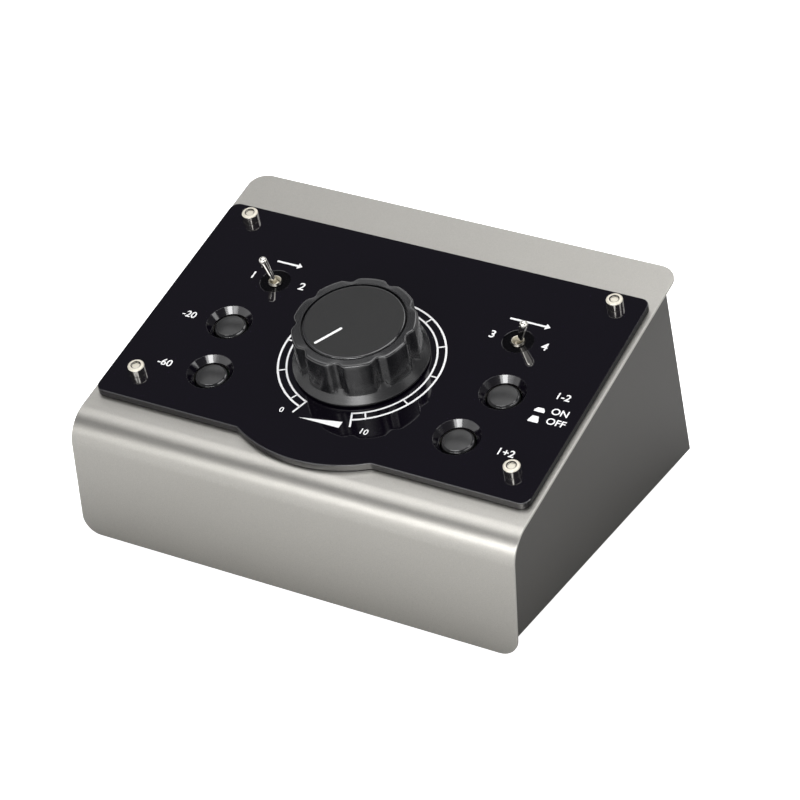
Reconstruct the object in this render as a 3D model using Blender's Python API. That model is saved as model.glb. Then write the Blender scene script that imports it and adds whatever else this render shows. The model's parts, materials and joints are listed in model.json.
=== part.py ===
"""Desktop monitor controller: a wedge case with a sloped glossy panel and a fluted volume knob.

Units are metres, +Z is up, the front faces -Y. The origin is on the table under the middle of the case.
"""
import math

import bmesh
import bpy
from mathutils import Matrix, Vector

# Gaps between pieces
REST_GAP = 0.0003        # between pieces that rest on or grip each other
RUN_GAP = 0.0001         # round a shaft that turns in its bushing
MOVE_GAP = 0.0004        # round a piece that slides or swings
OVERRUN = 0.002          # how far a cutter runs past the face it cuts

# Folded top cover, one bent sheet
COVER_WIDTH = 0.200
SHEET = 0.0015
SLOPE_ANGLE = math.radians(18.5)
SLOPE_LENGTH = 0.160     # from the sharp bend corner to the rear edge
FRONT_LENGTH = 0.0552    # from the sharp bend corner to the lower front edge
FRONT_LEAN = math.radians(7.6)
BEND_RADIUS = 0.013
FREE_CORNER = 0.008
BEND_STEPS = 9
TABLE_CLEARANCE = 0.0014

# Folded base tray
FOOT_HEIGHT = 0.0060
SIDE_INSET = 0.0036
REAR_LEAN = math.radians(21.9)
BASE_DEPTH = 0.1765      # from the cover's lower front edge to the tray's rear corner
SCREW_LAND = 0.0089      # tray's flange past a panel screw, towards the middle
END_FLANGE = 0.007
FRONT_LIP = 0.010
TRAY_EDGE = 0.0005

# Places on the slope, measured from the knob's axis
KNOB_TO_BEND = 0.0688
SIDE_MARGIN = 0.0022     # from the cover's edges to the panel's
FRONT_MARGIN = 0.0180
REAR_MARGIN = 0.0235
PANEL_WIDTH = COVER_WIDTH - 2 * SIDE_MARGIN
PANEL_FRONT = KNOB_TO_BEND - FRONT_MARGIN
PANEL_REAR = SLOPE_LENGTH - KNOB_TO_BEND - REAR_MARGIN
CONTROL_MARGIN = 0.0350  # from the panel's side to the nearest control's middle
CONTROL_CIRCLE = PANEL_WIDTH / 2 - CONTROL_MARGIN
CONTROL_ANGLE = math.radians(26.4)
CONTROL_RISE = 0.0012    # the controls' circle lies higher up the slope than the knob's axis

# Face panel
PANEL_THICKNESS = 0.003
PANEL_CORNER = 0.004
BULGE_RISE = 0.0083      # how far the front edge bulges
BULGE_RADIUS = PANEL_FRONT + BULGE_RISE
BULGE_FILLET = 0.0025
PANEL_CHAMFER = 0.0004
DISH_RADIUS = 0.0097
DISH_DEPTH = 0.0025
NUT_HOLE_RADIUS = 0.008

# Cap screws through panel, cover and tray
SCREW_MARGIN = 0.0127    # from the panel's side edges
SCREW_FRONT_MARGIN = 0.0141
SCREW_REAR_MARGIN = 0.0075
SCREW_X = PANEL_WIDTH / 2 - SCREW_MARGIN
SCREW_REAR = PANEL_REAR - SCREW_REAR_MARGIN
SCREW_FRONT = PANEL_FRONT - SCREW_FRONT_MARGIN
SCREW_RADIUS = 0.002
SCREW_HEAD_RADIUS = 0.0035
SCREW_HEAD_HEIGHT = 0.0038
SCREW_HEAD_EDGE = 0.0004
SCREW_LENGTH = 0.012
HEX_SOCKET_RADIUS = 0.00175
HEX_SOCKET_DEPTH = 0.002

# Fluted knob
FLUTES = 9
KNOB_LIFT = 0.0008
KNOB_HEIGHT = 0.0199     # base edge to the outer top edge
KNOB_RADIUS = 0.0259
KNOB_DRAFT = 0.0003
FLUTE_DEPTH = 0.0018
FLUTE_HALF_ANGLE = math.radians(9.5)
FLUTE_SHARES = (-1.0, -0.67, -0.33, 0.0, 0.33, 0.67, 1.0)
SKIRT_RADIUS = 0.0282
SKIRT_EDGE = 0.0009
SKIRT_HEIGHT = 0.0062
SKIRT_STEPS = 4
KNOB_TOP_ROUND = 0.0008
KNOB_CROWN = 0.0002      # the top ring rises by this towards the cap
KNOB_WALL = 0.0022
KNOB_ROOF = 0.0026
HUB_RADIUS = 0.0062
HUB_RIBS = 6
RIB_THICKNESS = 0.0014
RIB_DROP = 0.004
CAP_RADIUS = 0.0210
CAP_THICKNESS = 0.0022
CAP_ROUND = 0.0008
CAP_GROOVE = 0.0006      # groove left open round the cap
POINTER_ANGLE = math.radians(240.0)
POINTER_START = 0.0056
POINTER_END = 0.0188
POINTER_WIDTH = 0.0012
POINTER_DEPTH = 0.0004

# Potentiometer
POT_BODY_RADIUS = 0.0085
POT_BUSH_RADIUS = 0.0035
POT_BUSH_LENGTH = 0.0072
POT_NUT_FLATS = 0.010
POT_NUT_HEIGHT = 0.002
SHAFT_RADIUS = 0.003
SHAFT_FLAT = 0.0018      # axis to the flat of the D
SHAFT_TAIL = 0.010
HUB_LIFT = 0.0012        # hub's lower face above the bushing

# Push buttons and their switches
BUTTON_RADIUS = 0.0067
BUTTON_SINK = 0.0020     # face edge below the panel's face
BUTTON_DOME = 0.0006
BUTTON_ROUND = 0.0006
BUTTON_HEIGHT = 0.0070
BUTTON_TRAVEL = 0.0025
BUTTON_SOCKET_DEPTH = 0.003
SWITCH_SIDE = 0.0085
SWITCH_EDGE = 0.0005
SWITCH_TRAVEL_ROOM = 0.0008
PLUNGER_SIDE = 0.0033
PLUNGER_DEPTH = 0.0045

# Toggle switches
TOGGLE_HOLE_RADIUS = 0.0065
TOGGLE_WIDTH = 0.0127
TOGGLE_DEPTH = 0.0080
TOGGLE_HEIGHT = 0.0092
TOGGLE_PLATE = 0.0008
BUSH_RADIUS = 0.0030
BUSH_BORE_RADIUS = 0.0024
BUSH_PROUD = 0.0008      # bushing's rim above the panel's face
BUSH_ROUND = 0.0003
LEVER_SWING = math.radians(16.8)
LEVER_BALL_RADIUS = 0.0019
LEVER_PIVOT_DROP = 0.0030  # pivot below the bushing's rim
LEVER_NECK_RADIUS = 0.0012
LEVER_TIP_RADIUS = 0.0018
LEVER_REACH = 0.0151     # pivot to the top of the tip

# Control board under the cover
BOARD_DROP = 0.0165      # cover's face to the board's upper face
BOARD_THICKNESS = 0.0016
BOARD_MARGIN = 0.025     # from the cover's side edge to the board's
BOARD_HALF_WIDTH = COVER_WIDTH / 2 - BOARD_MARGIN
BOARD_HALF_DEPTH = 0.041
BOARD_CORNER = 0.003
STANDOFF_MARGIN = 0.005  # from the board's edges
STANDOFF_X = BOARD_HALF_WIDTH - STANDOFF_MARGIN
STANDOFF_Y = BOARD_HALF_DEPTH - STANDOFF_MARGIN
STANDOFF_FLATS = 0.0055
STANDOFF_ROOT = 0.0007
BOARD_SCREW_RADIUS = 0.0015
BOARD_SCREW_HEAD_RADIUS = 0.0028
BOARD_SCREW_HEAD = 0.0019
BOARD_SCREW_LENGTH = 0.008

# Jack sockets on the rear wall
JACK_COLUMNS = 4
JACK_ROWS = 2
JACK_PITCH_SHARE = 1 / 5  # of the cover's width
JACK_PITCH = COVER_WIDTH * JACK_PITCH_SHARE
JACK_ROW_PITCH = 0.030
JACK_FIRST_ROW = 0.034   # along the wall from the tray's lower corner
JACK_WIDTH = 0.0150
JACK_TALL = 0.0160
JACK_LENGTH = 0.028
JACK_BUSH_RADIUS = 0.0047
JACK_BUSH_PROUD = 0.0034
JACK_BORE_RADIUS = 0.0035
JACK_BORE_DEPTH = 0.026
JACK_NUT_FLATS = 0.0130
JACK_NUT_HEIGHT = 0.0024
JACK_BOARD_MARGIN = 0.013
JACK_BOARD_HALF_WIDTH = (JACK_COLUMNS - 1) / 2 * JACK_PITCH + JACK_BOARD_MARGIN

# Ribbon between the boards
PLUG_WIDTH = 0.022
PLUG_DEPTH = 0.006
PLUG_HEIGHT = 0.0085
PLUG_EDGE = 0.0006
RIBBON_WIDTH = 0.0178
RIBBON_THICKNESS = 0.0010
RIBBON_SWEEP = 0.024
RIBBON_STEPS = 18
CONTROL_PLUG_Y = 0.020

# Feet
FOOT_RADIUS = 0.0070
FOOT_TAPER = 0.0009
FOOT_ROUND = 0.0007
FOOT_MARGIN = 0.022      # from the cover's side edge
FOOT_X = COVER_WIDTH / 2 - FOOT_MARGIN
FOOT_FRONT = 0.022       # from the cover's lower front edge
FOOT_REAR_MARGIN = 0.020

# Facets of round pieces
FINE = 32
ROUND = 24
SMALL = 16
HEX = 6

# Worked-out places of the cover's profile, in the plane of Y and Z
SLOPE_DIR = Vector((math.cos(SLOPE_ANGLE), math.sin(SLOPE_ANGLE)))
FRONT_DIR = Vector((math.sin(FRONT_LEAN), -math.cos(FRONT_LEAN)))
BEND_TURN = math.acos(-SLOPE_DIR.dot(FRONT_DIR))
BEND_TANGENT = BEND_RADIUS * math.tan(BEND_TURN / 2)
REAR_UP = Vector((-math.sin(REAR_LEAN), math.cos(REAR_LEAN)))
REAR_OUT = Vector((math.cos(REAR_LEAN), math.sin(REAR_LEAN)))
FACE_TOP = REST_GAP + PANEL_THICKNESS


def bend_corner():
    """Sharp corner of the cover's outer faces, with the middle of the whole depth at Y zero."""
    corner_y = -FRONT_DIR.x * FRONT_LENGTH
    bow_centre_y = corner_y + bend_centre_offset().x
    middle = (bow_centre_y - BEND_RADIUS + BASE_DEPTH) / 2
    return Vector((corner_y - middle, TABLE_CLEARANCE - FRONT_DIR.y * FRONT_LENGTH))


def bend_centre_offset():
    """From the sharp bend corner to the centre of the bend."""
    inward = (SLOPE_DIR + FRONT_DIR).normalized()
    return inward * (BEND_RADIUS / math.cos(BEND_TURN / 2))


CORNER = bend_corner()
FRONT_FOOT = CORNER + FRONT_DIR * FRONT_LENGTH
REAR_CORNER = Vector((FRONT_FOOT.x + BASE_DEPTH, FOOT_HEIGHT))


def clear_scene():
    for item in list(bpy.data.objects):
        bpy.data.objects.remove(item, do_unlink=True)


def material(name, colour, roughness, metallic=0.0):
    finish = bpy.data.materials.new(name)
    finish.use_nodes = True
    shader = finish.node_tree.nodes["Principled BSDF"]
    shader.inputs["Base Color"].default_value = (*colour, 1.0)
    shader.inputs["Roughness"].default_value = roughness
    shader.inputs["Metallic"].default_value = metallic
    finish.diffuse_color = (*colour, 1.0)
    return finish


def circle(radius, count, centre=(0, 0), phase=0.0):
    points = []
    for step in range(count):
        angle = phase + 2 * math.pi * step / count
        points.append((centre[0] + radius * math.cos(angle), centre[1] + radius * math.sin(angle)))
    return points


def arc(centre, radius, start, end, steps):
    points = []
    for step in range(steps + 1):
        angle = start + (end - start) * step / steps
        points.append((centre[0] + radius * math.cos(angle), centre[1] + radius * math.sin(angle)))
    return points


def rounded_rectangle(low, high, radius, steps=4):
    corners = [
        ((low[0] + radius, low[1] + radius), math.pi),
        ((high[0] - radius, low[1] + radius), 1.5 * math.pi),
        ((high[0] - radius, high[1] - radius), 0.0),
        ((low[0] + radius, high[1] - radius), 0.5 * math.pi),
    ]
    points = []
    for centre, start in corners:
        points += arc(centre, radius, start, start + math.pi / 2, steps)
    return points


def box_outline(half):
    return [(-half[0], -half[1]), (half[0], -half[1]), (half[0], half[1]), (-half[0], half[1])]


def hexagon(flats):
    return circle(flats / 2 / math.cos(math.pi / HEX), HEX, phase=math.pi / HEX)


def ring(bm, points, level):
    return [bm.verts.new((x, y, level)) for x, y in points]


def skin(bm, lower, upper):
    """Quads between two loops of as many points."""
    count = len(lower)
    for index in range(count):
        following = (index + 1) % count
        bm.faces.new((lower[index], lower[following], upper[following], upper[index]))


def cap(bm, loops):
    """Flat face bounded by the first loop, with the others as holes."""
    edges = []
    for loop in loops:
        for index, vert in enumerate(loop):
            other = loop[(index + 1) % len(loop)]
            edges.append(bm.edges.get((vert, other)) or bm.edges.new((vert, other)))
    bmesh.ops.triangle_fill(bm, edges=edges, use_beauty=True)


def stack(bm, rings):
    """Closed body through rings from bottom to top, with flat ends."""
    for lower, upper in zip(rings, rings[1:]):
        skin(bm, lower, upper)
    cap(bm, [rings[0]])
    cap(bm, [rings[-1]])


def turned(profile, count):
    """Solid of revolution about Z through (radius, height) points from bottom to top."""
    bm = bmesh.new()
    stack(bm, [ring(bm, circle(radius, count), height) for radius, height in profile])
    return bm


def turned_tube(profile, count):
    """Ring-shaped solid of revolution whose (radius, height) profile is closed."""
    bm = bmesh.new()
    rings = [ring(bm, circle(radius, count), height) for radius, height in profile]
    for lower, upper in zip(rings, rings[1:] + rings[:1]):
        skin(bm, lower, upper)
    return bm


def prism(outline, low, high, holes=()):
    """Flat plate or bar between two levels, with through holes."""
    bm = bmesh.new()
    lower = [ring(bm, points, low) for points in (outline, *holes)]
    upper = [ring(bm, points, high) for points in (outline, *holes)]
    for under, over in zip(lower, upper):
        skin(bm, under, over)
    cap(bm, lower)
    cap(bm, upper)
    return bm


def soft_prism(outline_at, low, high, edge, holes=()):
    """Plate whose outline is drawn in by the edge at both faces; outline_at gives it for an inset."""
    bm = bmesh.new()
    levels = [(edge, low), (0.0, low + edge), (0.0, high - edge), (edge, high)]
    rings = [ring(bm, outline_at(inset), level) for inset, level in levels]
    for under, over in zip(rings, rings[1:]):
        skin(bm, under, over)
    lower = [ring(bm, points, low) for points in holes]
    upper = [ring(bm, points, high) for points in holes]
    for under, over in zip(lower, upper):
        skin(bm, under, over)
    cap(bm, [rings[0], *lower])
    cap(bm, [rings[-1], *upper])
    return bm


def soft_box(width, depth, low, high, edge):
    """Box centred on Z with small chamfers all round."""
    def outline_at(inset):
        return rounded_rectangle(
            (inset - width / 2, inset - depth / 2), (width / 2 - inset, depth / 2 - inset), edge, 1)
    return soft_prism(outline_at, low, high, edge)


def add_object(name, bm, finish, parent=None, place=(0, 0, 0), turn=(0, 0, 0)):
    """Object from a closed mesh, shaded smooth but for its sharp edges."""
    bmesh.ops.recalc_face_normals(bm, faces=bm.faces)
    if bm.calc_volume(signed=True) < 0:
        bmesh.ops.reverse_faces(bm, faces=bm.faces)
    mesh = bpy.data.meshes.new(name)
    bm.to_mesh(mesh)
    bm.free()
    mesh.shade_smooth()
    mesh.set_sharp_from_angle(angle=math.radians(35))
    item = bpy.data.objects.new(name, mesh)
    bpy.context.scene.collection.objects.link(item)
    if finish is not None:
        mesh.materials.append(finish)
    item.parent = parent
    item.location = place
    item.rotation_euler = turn
    return item


def add_cutter(name, bm, parent=None, place=(0, 0, 0), turn=(0, 0, 0)):
    item = add_object(name, bm, None, parent, place, turn)
    item.hide_render = True
    item.display_type = "WIRE"
    return item


def combine(item, other, operation):
    change = item.modifiers.new(operation.title() + "_" + other.name, "BOOLEAN")
    change.operation = operation
    change.solver = "EXACT"
    change.object = other


def add_frame(name, place, turn):
    frame = bpy.data.objects.new(name, None)
    bpy.context.scene.collection.objects.link(frame)
    frame.location = place
    frame.rotation_euler = turn
    return frame


def deck_point():
    """Where the knob's axis meets the cover's outer face, in Y and Z."""
    return CORNER + SLOPE_DIR * KNOB_TO_BEND


def on_circle(angle):
    """Place on the circle of controls round the knob."""
    return CONTROL_CIRCLE * math.cos(angle), CONTROL_RISE + CONTROL_CIRCLE * math.sin(angle)


def button_places():
    return {
        "dim": on_circle(math.pi),
        "mute": on_circle(math.pi + CONTROL_ANGLE),
        "side": on_circle(0.0),
        "mono": on_circle(-CONTROL_ANGLE),
    }


def toggle_places():
    return {
        "input": on_circle(math.pi - CONTROL_ANGLE),
        "monitor": on_circle(CONTROL_ANGLE),
    }


def screw_places():
    return [(side * SCREW_X, y) for y in (SCREW_REAR, -SCREW_FRONT) for side in (-1, 1)]


def standoff_places():
    return [(side * STANDOFF_X, end * STANDOFF_Y) for end in (1, -1) for side in (-1, 1)]


def fold(point, level):
    """Bend a place on the flat blank; point.y runs from the knob's axis, level is the height."""
    along = point.y + KNOB_TO_BEND - BEND_TANGENT
    bend_length = BEND_RADIUS * BEND_TURN
    slope_up = Vector((-SLOPE_DIR.y, SLOPE_DIR.x))
    front_out = Vector((FRONT_DIR.y, -FRONT_DIR.x))
    if along >= 0:
        spot = CORNER + SLOPE_DIR * (along + BEND_TANGENT) + slope_up * level
    elif along >= -bend_length:
        turn = -along / BEND_RADIUS
        radius = BEND_RADIUS + level
        lean = SLOPE_ANGLE + math.pi / 2 + turn
        spot = CORNER + bend_centre_offset() + Vector((math.cos(lean), math.sin(lean))) * radius
    else:
        spot = CORNER + FRONT_DIR * (BEND_TANGENT - bend_length - along) + front_out * level
    return Vector((point.x, spot.x, spot.y))


def build_cover(finish, deck):
    """Flat blank with round corners, folded over the bend and then punched."""
    half = COVER_WIDTH / 2
    rear = SLOPE_LENGTH - KNOB_TO_BEND
    bend_start = BEND_TANGENT - KNOB_TO_BEND
    bend_length = BEND_RADIUS * BEND_TURN
    front = bend_start - bend_length - (FRONT_LENGTH - BEND_TANGENT)
    outline = rounded_rectangle((-half, front), (half, rear), FREE_CORNER, 6)
    bm = bmesh.new()
    lower = ring(bm, outline, -SHEET)
    upper = ring(bm, outline, 0.0)
    skin(bm, lower, upper)
    bm.faces.new(lower)
    bm.faces.new(upper)
    for step in range(BEND_STEPS + 1):
        station = bend_start - bend_length * step / BEND_STEPS
        everything = bm.verts[:] + bm.edges[:] + bm.faces[:]
        bmesh.ops.bisect_plane(bm, geom=everything, plane_co=(0, station, 0), plane_no=(0, 1, 0))
    for vert in bm.verts:
        vert.co = fold(vert.co, vert.co.z)
    cover = add_object("cover", bm, finish)
    holes = [((0, 0), POT_BUSH_RADIUS + REST_GAP, SMALL)]
    holes += [(place, BUTTON_RADIUS + MOVE_GAP, FINE) for place in button_places().values()]
    holes += [(place, TOGGLE_HOLE_RADIUS, ROUND) for place in toggle_places().values()]
    holes += [(place, SCREW_RADIUS + REST_GAP, SMALL) for place in screw_places()]
    for number, (place, radius, count) in enumerate(holes, 1):
        punch = prism(circle(radius, count), -SHEET - OVERRUN, OVERRUN)
        combine(cover, add_cutter(f"cover_punch_{number}", punch, deck, (*place, 0)), "DIFFERENCE")
    return cover


def add_standoffs(cover, deck):
    """Hex standoffs clinched into the cover carry the control board."""
    low = REST_GAP - BOARD_DROP
    for number, (x, y) in enumerate(standoff_places(), 1):
        post = prism(hexagon(STANDOFF_FLATS), low, STANDOFF_ROOT - SHEET)
        combine(cover, add_cutter(f"standoff_{number}", post, deck, (x, y, 0)), "UNION")
        bore = prism(circle(BOARD_SCREW_RADIUS + REST_GAP, SMALL), low - OVERRUN, low + BOARD_SCREW_LENGTH)
        combine(cover, add_cutter(f"standoff_bore_{number}", bore, deck, (x, y, 0)), "DIFFERENCE")


def panel_outline(inset):
    """Rounded rectangle whose front edge bulges round the knob's axis."""
    half = PANEL_WIDTH / 2 - inset
    front = inset - PANEL_FRONT
    rear = PANEL_REAR - inset
    corner = PANEL_CORNER - inset
    bulge = BULGE_RADIUS - inset
    fillet = BULGE_FILLET + inset
    fillet_y = front - fillet
    fillet_x = math.sqrt((bulge + fillet) ** 2 - fillet_y ** 2)
    lean = math.atan2(fillet_x, -fillet_y)
    points = arc((corner - half, front + corner), corner, math.pi, 1.5 * math.pi, 5)
    points += arc((-fillet_x, fillet_y), fillet, math.pi / 2, math.pi / 2 - lean, 3)
    points += arc((0, 0), bulge, 1.5 * math.pi - lean, 1.5 * math.pi + lean, 22)[1:-1]
    points += arc((fillet_x, fillet_y), fillet, math.pi / 2 + lean, math.pi / 2, 3)
    points += arc((half - corner, front + corner), corner, 1.5 * math.pi, 2 * math.pi, 5)
    points += arc((half - corner, rear - corner), corner, 0.0, math.pi / 2, 5)
    points += arc((corner - half, rear - corner), corner, math.pi / 2, math.pi, 5)
    return points


def build_face_panel(finish, deck):
    """Acrylic plate with a finger dish round each button."""
    bm = bmesh.new()
    top = FACE_TOP
    levels = [(0.0, REST_GAP), (0.0, top - PANEL_CHAMFER), (PANEL_CHAMFER, top)]
    rings = [ring(bm, panel_outline(inset), level) for inset, level in levels]
    for under, over in zip(rings, rings[1:]):
        skin(bm, under, over)
    below = [rings[0]]
    above = [rings[-1]]
    plain = [((0, 0), NUT_HOLE_RADIUS, ROUND)]
    plain += [(place, TOGGLE_HOLE_RADIUS, ROUND) for place in toggle_places().values()]
    plain += [(place, SCREW_RADIUS + REST_GAP, SMALL) for place in screw_places()]
    for place, radius, count in plain:
        hole = [ring(bm, circle(radius, count, place), level) for level in (REST_GAP, top)]
        skin(bm, hole[0], hole[1])
        below.append(hole[0])
        above.append(hole[1])
    throat = BUTTON_RADIUS + MOVE_GAP
    for place in button_places().values():
        shape = [(throat, REST_GAP), (throat, top - DISH_DEPTH), (DISH_RADIUS, top)]
        dish = [ring(bm, circle(radius, FINE, place), level) for radius, level in shape]
        for under, over in zip(dish, dish[1:]):
            skin(bm, under, over)
        below.append(dish[0])
        above.append(dish[-1])
    cap(bm, below)
    cap(bm, above)
    return add_object("face_panel", bm, finish, deck)


def build_panel_screws(finish, deck):
    head_low = FACE_TOP + REST_GAP
    head_top = head_low + SCREW_HEAD_HEIGHT
    shoulder = SCREW_HEAD_RADIUS - SCREW_HEAD_EDGE
    profile = [
        (SCREW_RADIUS, head_low - SCREW_LENGTH),
        (SCREW_RADIUS, head_low),
        (SCREW_HEAD_RADIUS, head_low),
        (SCREW_HEAD_RADIUS, head_top - SCREW_HEAD_EDGE),
        (shoulder, head_top),
    ]
    for number, (x, y) in enumerate(screw_places(), 1):
        screw = add_object(f"panel_screw_{number}", turned(profile, ROUND), finish, deck, (x, y, 0))
        socket = prism(circle(HEX_SOCKET_RADIUS, HEX), head_top - HEX_SOCKET_DEPTH, head_top + OVERRUN)
        combine(screw, add_cutter(f"screw_socket_{number}", socket, deck, (x, y, 0)), "DIFFERENCE")


def knob_radius(angle, height):
    """Radius of the fluted side at a height above the knob's lower edge."""
    pitch = 2 * math.pi / FLUTES
    off = abs((angle + pitch / 2) % pitch - pitch / 2)
    share = min(off / FLUTE_HALF_ANGLE, 1.0)
    hollow = FLUTE_DEPTH * (1 + math.cos(math.pi * share)) / 2
    side = KNOB_RADIUS - KNOB_DRAFT * height / KNOB_HEIGHT - hollow
    climb = (height - SKIRT_EDGE) / (SKIRT_HEIGHT - SKIRT_EDGE)
    foot = SKIRT_RADIUS - (SKIRT_RADIUS - KNOB_RADIUS + FLUTE_DEPTH) * climb
    return max(side, foot if climb > 0 else SKIRT_RADIUS)


def knob_angles():
    """Directions of the points round the knob: closer in each flute, one in the middle of each lobe."""
    pitch = 2 * math.pi / FLUTES
    angles = []
    for flute in range(FLUTES):
        angles += [flute * pitch + FLUTE_HALF_ANGLE * share for share in FLUTE_SHARES]
        angles.append((flute + 1 / 2) * pitch)
    return angles


def knob_ring(bm, base, height, draw_in=0.0):
    points = []
    for angle in knob_angles():
        radius = knob_radius(angle, height) - draw_in
        points.append((radius * math.cos(angle), radius * math.sin(angle)))
    return ring(bm, points, base + height)


def knob_circle(bm, radius, level):
    """Round ring with as many points as the fluted side, in the same directions."""
    points = [(radius * math.cos(angle), radius * math.sin(angle)) for angle in knob_angles()]
    return ring(bm, points, level)


def d_shape(radius, flat, count):
    """Circle with one flat, towards +X."""
    points = []
    for x, y in circle(radius, count, phase=math.pi / count):
        points.append((min(x, flat), y))
    return points


def build_knob(body_finish, cap_finish, deck):
    """Moulded knob, hollow underneath, with a hub on the shaft and a cap let into its top."""
    base = FACE_TOP + KNOB_LIFT
    edge = KNOB_HEIGHT - KNOB_TOP_ROUND
    bm = bmesh.new()
    outer = [knob_ring(bm, base, 0.0, SKIRT_EDGE / 2)]
    outer.append(knob_ring(bm, base, SKIRT_EDGE / 2))
    for step in range(SKIRT_STEPS + 1):
        height = SKIRT_EDGE + (SKIRT_HEIGHT - SKIRT_EDGE) * step / SKIRT_STEPS
        outer.append(knob_ring(bm, base, height))
    outer.append(knob_ring(bm, base, edge))
    for turn_share in (1 / 3, 2 / 3, 1.0):
        lean = turn_share * math.pi / 2
        draw_in = KNOB_TOP_ROUND * (1 - math.cos(lean))
        outer.append(knob_ring(bm, base, edge + KNOB_TOP_ROUND * math.sin(lean), draw_in))
    for under, over in zip(outer, outer[1:]):
        skin(bm, under, over)
    crown = base + KNOB_HEIGHT + KNOB_CROWN
    cap_floor = crown - CAP_THICKNESS - REST_GAP
    rim = knob_circle(bm, CAP_RADIUS + CAP_GROOVE, crown)
    seat = knob_circle(bm, CAP_RADIUS + CAP_GROOVE, cap_floor)
    skin(bm, outer[-1], rim)
    skin(bm, rim, seat)
    cap(bm, [seat])
    cavity = KNOB_RADIUS - FLUTE_DEPTH - KNOB_WALL
    roof = cap_floor - KNOB_ROOF
    mouth = ring(bm, circle(cavity, ROUND), base)
    ceiling = ring(bm, circle(cavity, ROUND), roof)
    hub_low = POT_BUSH_LENGTH - SHEET + HUB_LIFT
    hub_top = ring(bm, circle(HUB_RADIUS, ROUND), roof)
    hub_foot = ring(bm, circle(HUB_RADIUS, ROUND), hub_low)
    bore = d_shape(SHAFT_RADIUS + RUN_GAP, SHAFT_FLAT + RUN_GAP, SMALL)
    bore_foot = ring(bm, bore, hub_low)
    bore_end = ring(bm, bore, roof - REST_GAP)
    cap(bm, [outer[0], mouth])
    skin(bm, mouth, ceiling)
    cap(bm, [ceiling, hub_top])
    skin(bm, hub_top, hub_foot)
    cap(bm, [hub_foot, bore_foot])
    skin(bm, bore_foot, bore_end)
    cap(bm, [bore_end])
    knob = add_object("knob_body", bm, body_finish, deck)
    for number in range(HUB_RIBS):
        length = cavity - HUB_RADIUS + 2 * RIB_THICKNESS
        rib = soft_box(length, RIB_THICKNESS, roof - RIB_DROP, roof + RIB_THICKNESS / 2, RUN_GAP)
        angle = 2 * math.pi * (number + 1 / 2) / HUB_RIBS
        reach = (cavity + HUB_RADIUS) / 2
        spot = (reach * math.cos(angle), reach * math.sin(angle), 0)
        combine(knob, add_cutter(f"knob_rib_{number + 1}", rib, deck, spot, (0, 0, angle)), "UNION")
    build_knob_cap(cap_finish, deck, cap_floor + REST_GAP, crown)


def build_knob_cap(finish, deck, low, high):
    profile = [(CAP_RADIUS, low), (CAP_RADIUS, high - CAP_ROUND)]
    for turn_share in (1 / 2, 1.0):
        lean = turn_share * math.pi / 2
        radius = CAP_RADIUS - CAP_ROUND * (1 - math.cos(lean))
        profile.append((radius, high - CAP_ROUND * (1 - math.sin(lean))))
    disc = add_object("knob_cap", turned(profile, FINE), finish, deck)
    length = POINTER_END - POINTER_START
    line = soft_box(length, POINTER_WIDTH, high - POINTER_DEPTH, high + OVERRUN, RUN_GAP)
    reach = (POINTER_START + POINTER_END) / 2
    spot = (reach * math.cos(POINTER_ANGLE), reach * math.sin(POINTER_ANGLE), 0)
    combine(disc, add_cutter("pointer_groove", line, deck, spot, (0, 0, POINTER_ANGLE)), "DIFFERENCE")


def build_potentiometer(body_finish, metal, deck):
    """Body with its bushing, the nut that clamps it to the cover, and the turning shaft."""
    top = -SHEET - REST_GAP
    low = REST_GAP - BOARD_DROP
    bush_top = POT_BUSH_LENGTH - SHEET
    shaft_top = FACE_TOP + KNOB_LIFT + KNOB_HEIGHT + KNOB_CROWN - CAP_THICKNESS - KNOB_ROOF - 3 * REST_GAP
    bore = SHAFT_RADIUS + RUN_GAP
    bm = bmesh.new()
    shape = [
        (POT_BODY_RADIUS, low), (POT_BODY_RADIUS, top), (POT_BUSH_RADIUS, top), (POT_BUSH_RADIUS, bush_top),
        (bore, bush_top), (bore, -SHAFT_TAIL - RUN_GAP),
    ]
    rings = [ring(bm, circle(radius, ROUND), height) for radius, height in shape]
    stack(bm, rings)
    add_object("potentiometer_body", bm, body_finish, deck)
    nut_hole = [circle(POT_BUSH_RADIUS + RUN_GAP, ROUND)]
    nut = prism(hexagon(POT_NUT_FLATS), REST_GAP, REST_GAP + POT_NUT_HEIGHT, nut_hole)
    add_object("potentiometer_nut", nut, metal, deck)
    flat_low = bush_top + HUB_LIFT / 2
    bm = bmesh.new()
    round_end = circle(SHAFT_RADIUS, SMALL, phase=math.pi / SMALL)
    flat_end = d_shape(SHAFT_RADIUS, SHAFT_FLAT, SMALL)
    rings = [ring(bm, round_end, -SHAFT_TAIL), ring(bm, round_end, flat_low)]
    rings += [ring(bm, flat_end, flat_low), ring(bm, flat_end, shaft_top)]
    stack(bm, rings)
    bmesh.ops.remove_doubles(bm, verts=bm.verts, dist=RUN_GAP / 10)
    add_object("potentiometer_shaft", bm, metal, deck)


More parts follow.
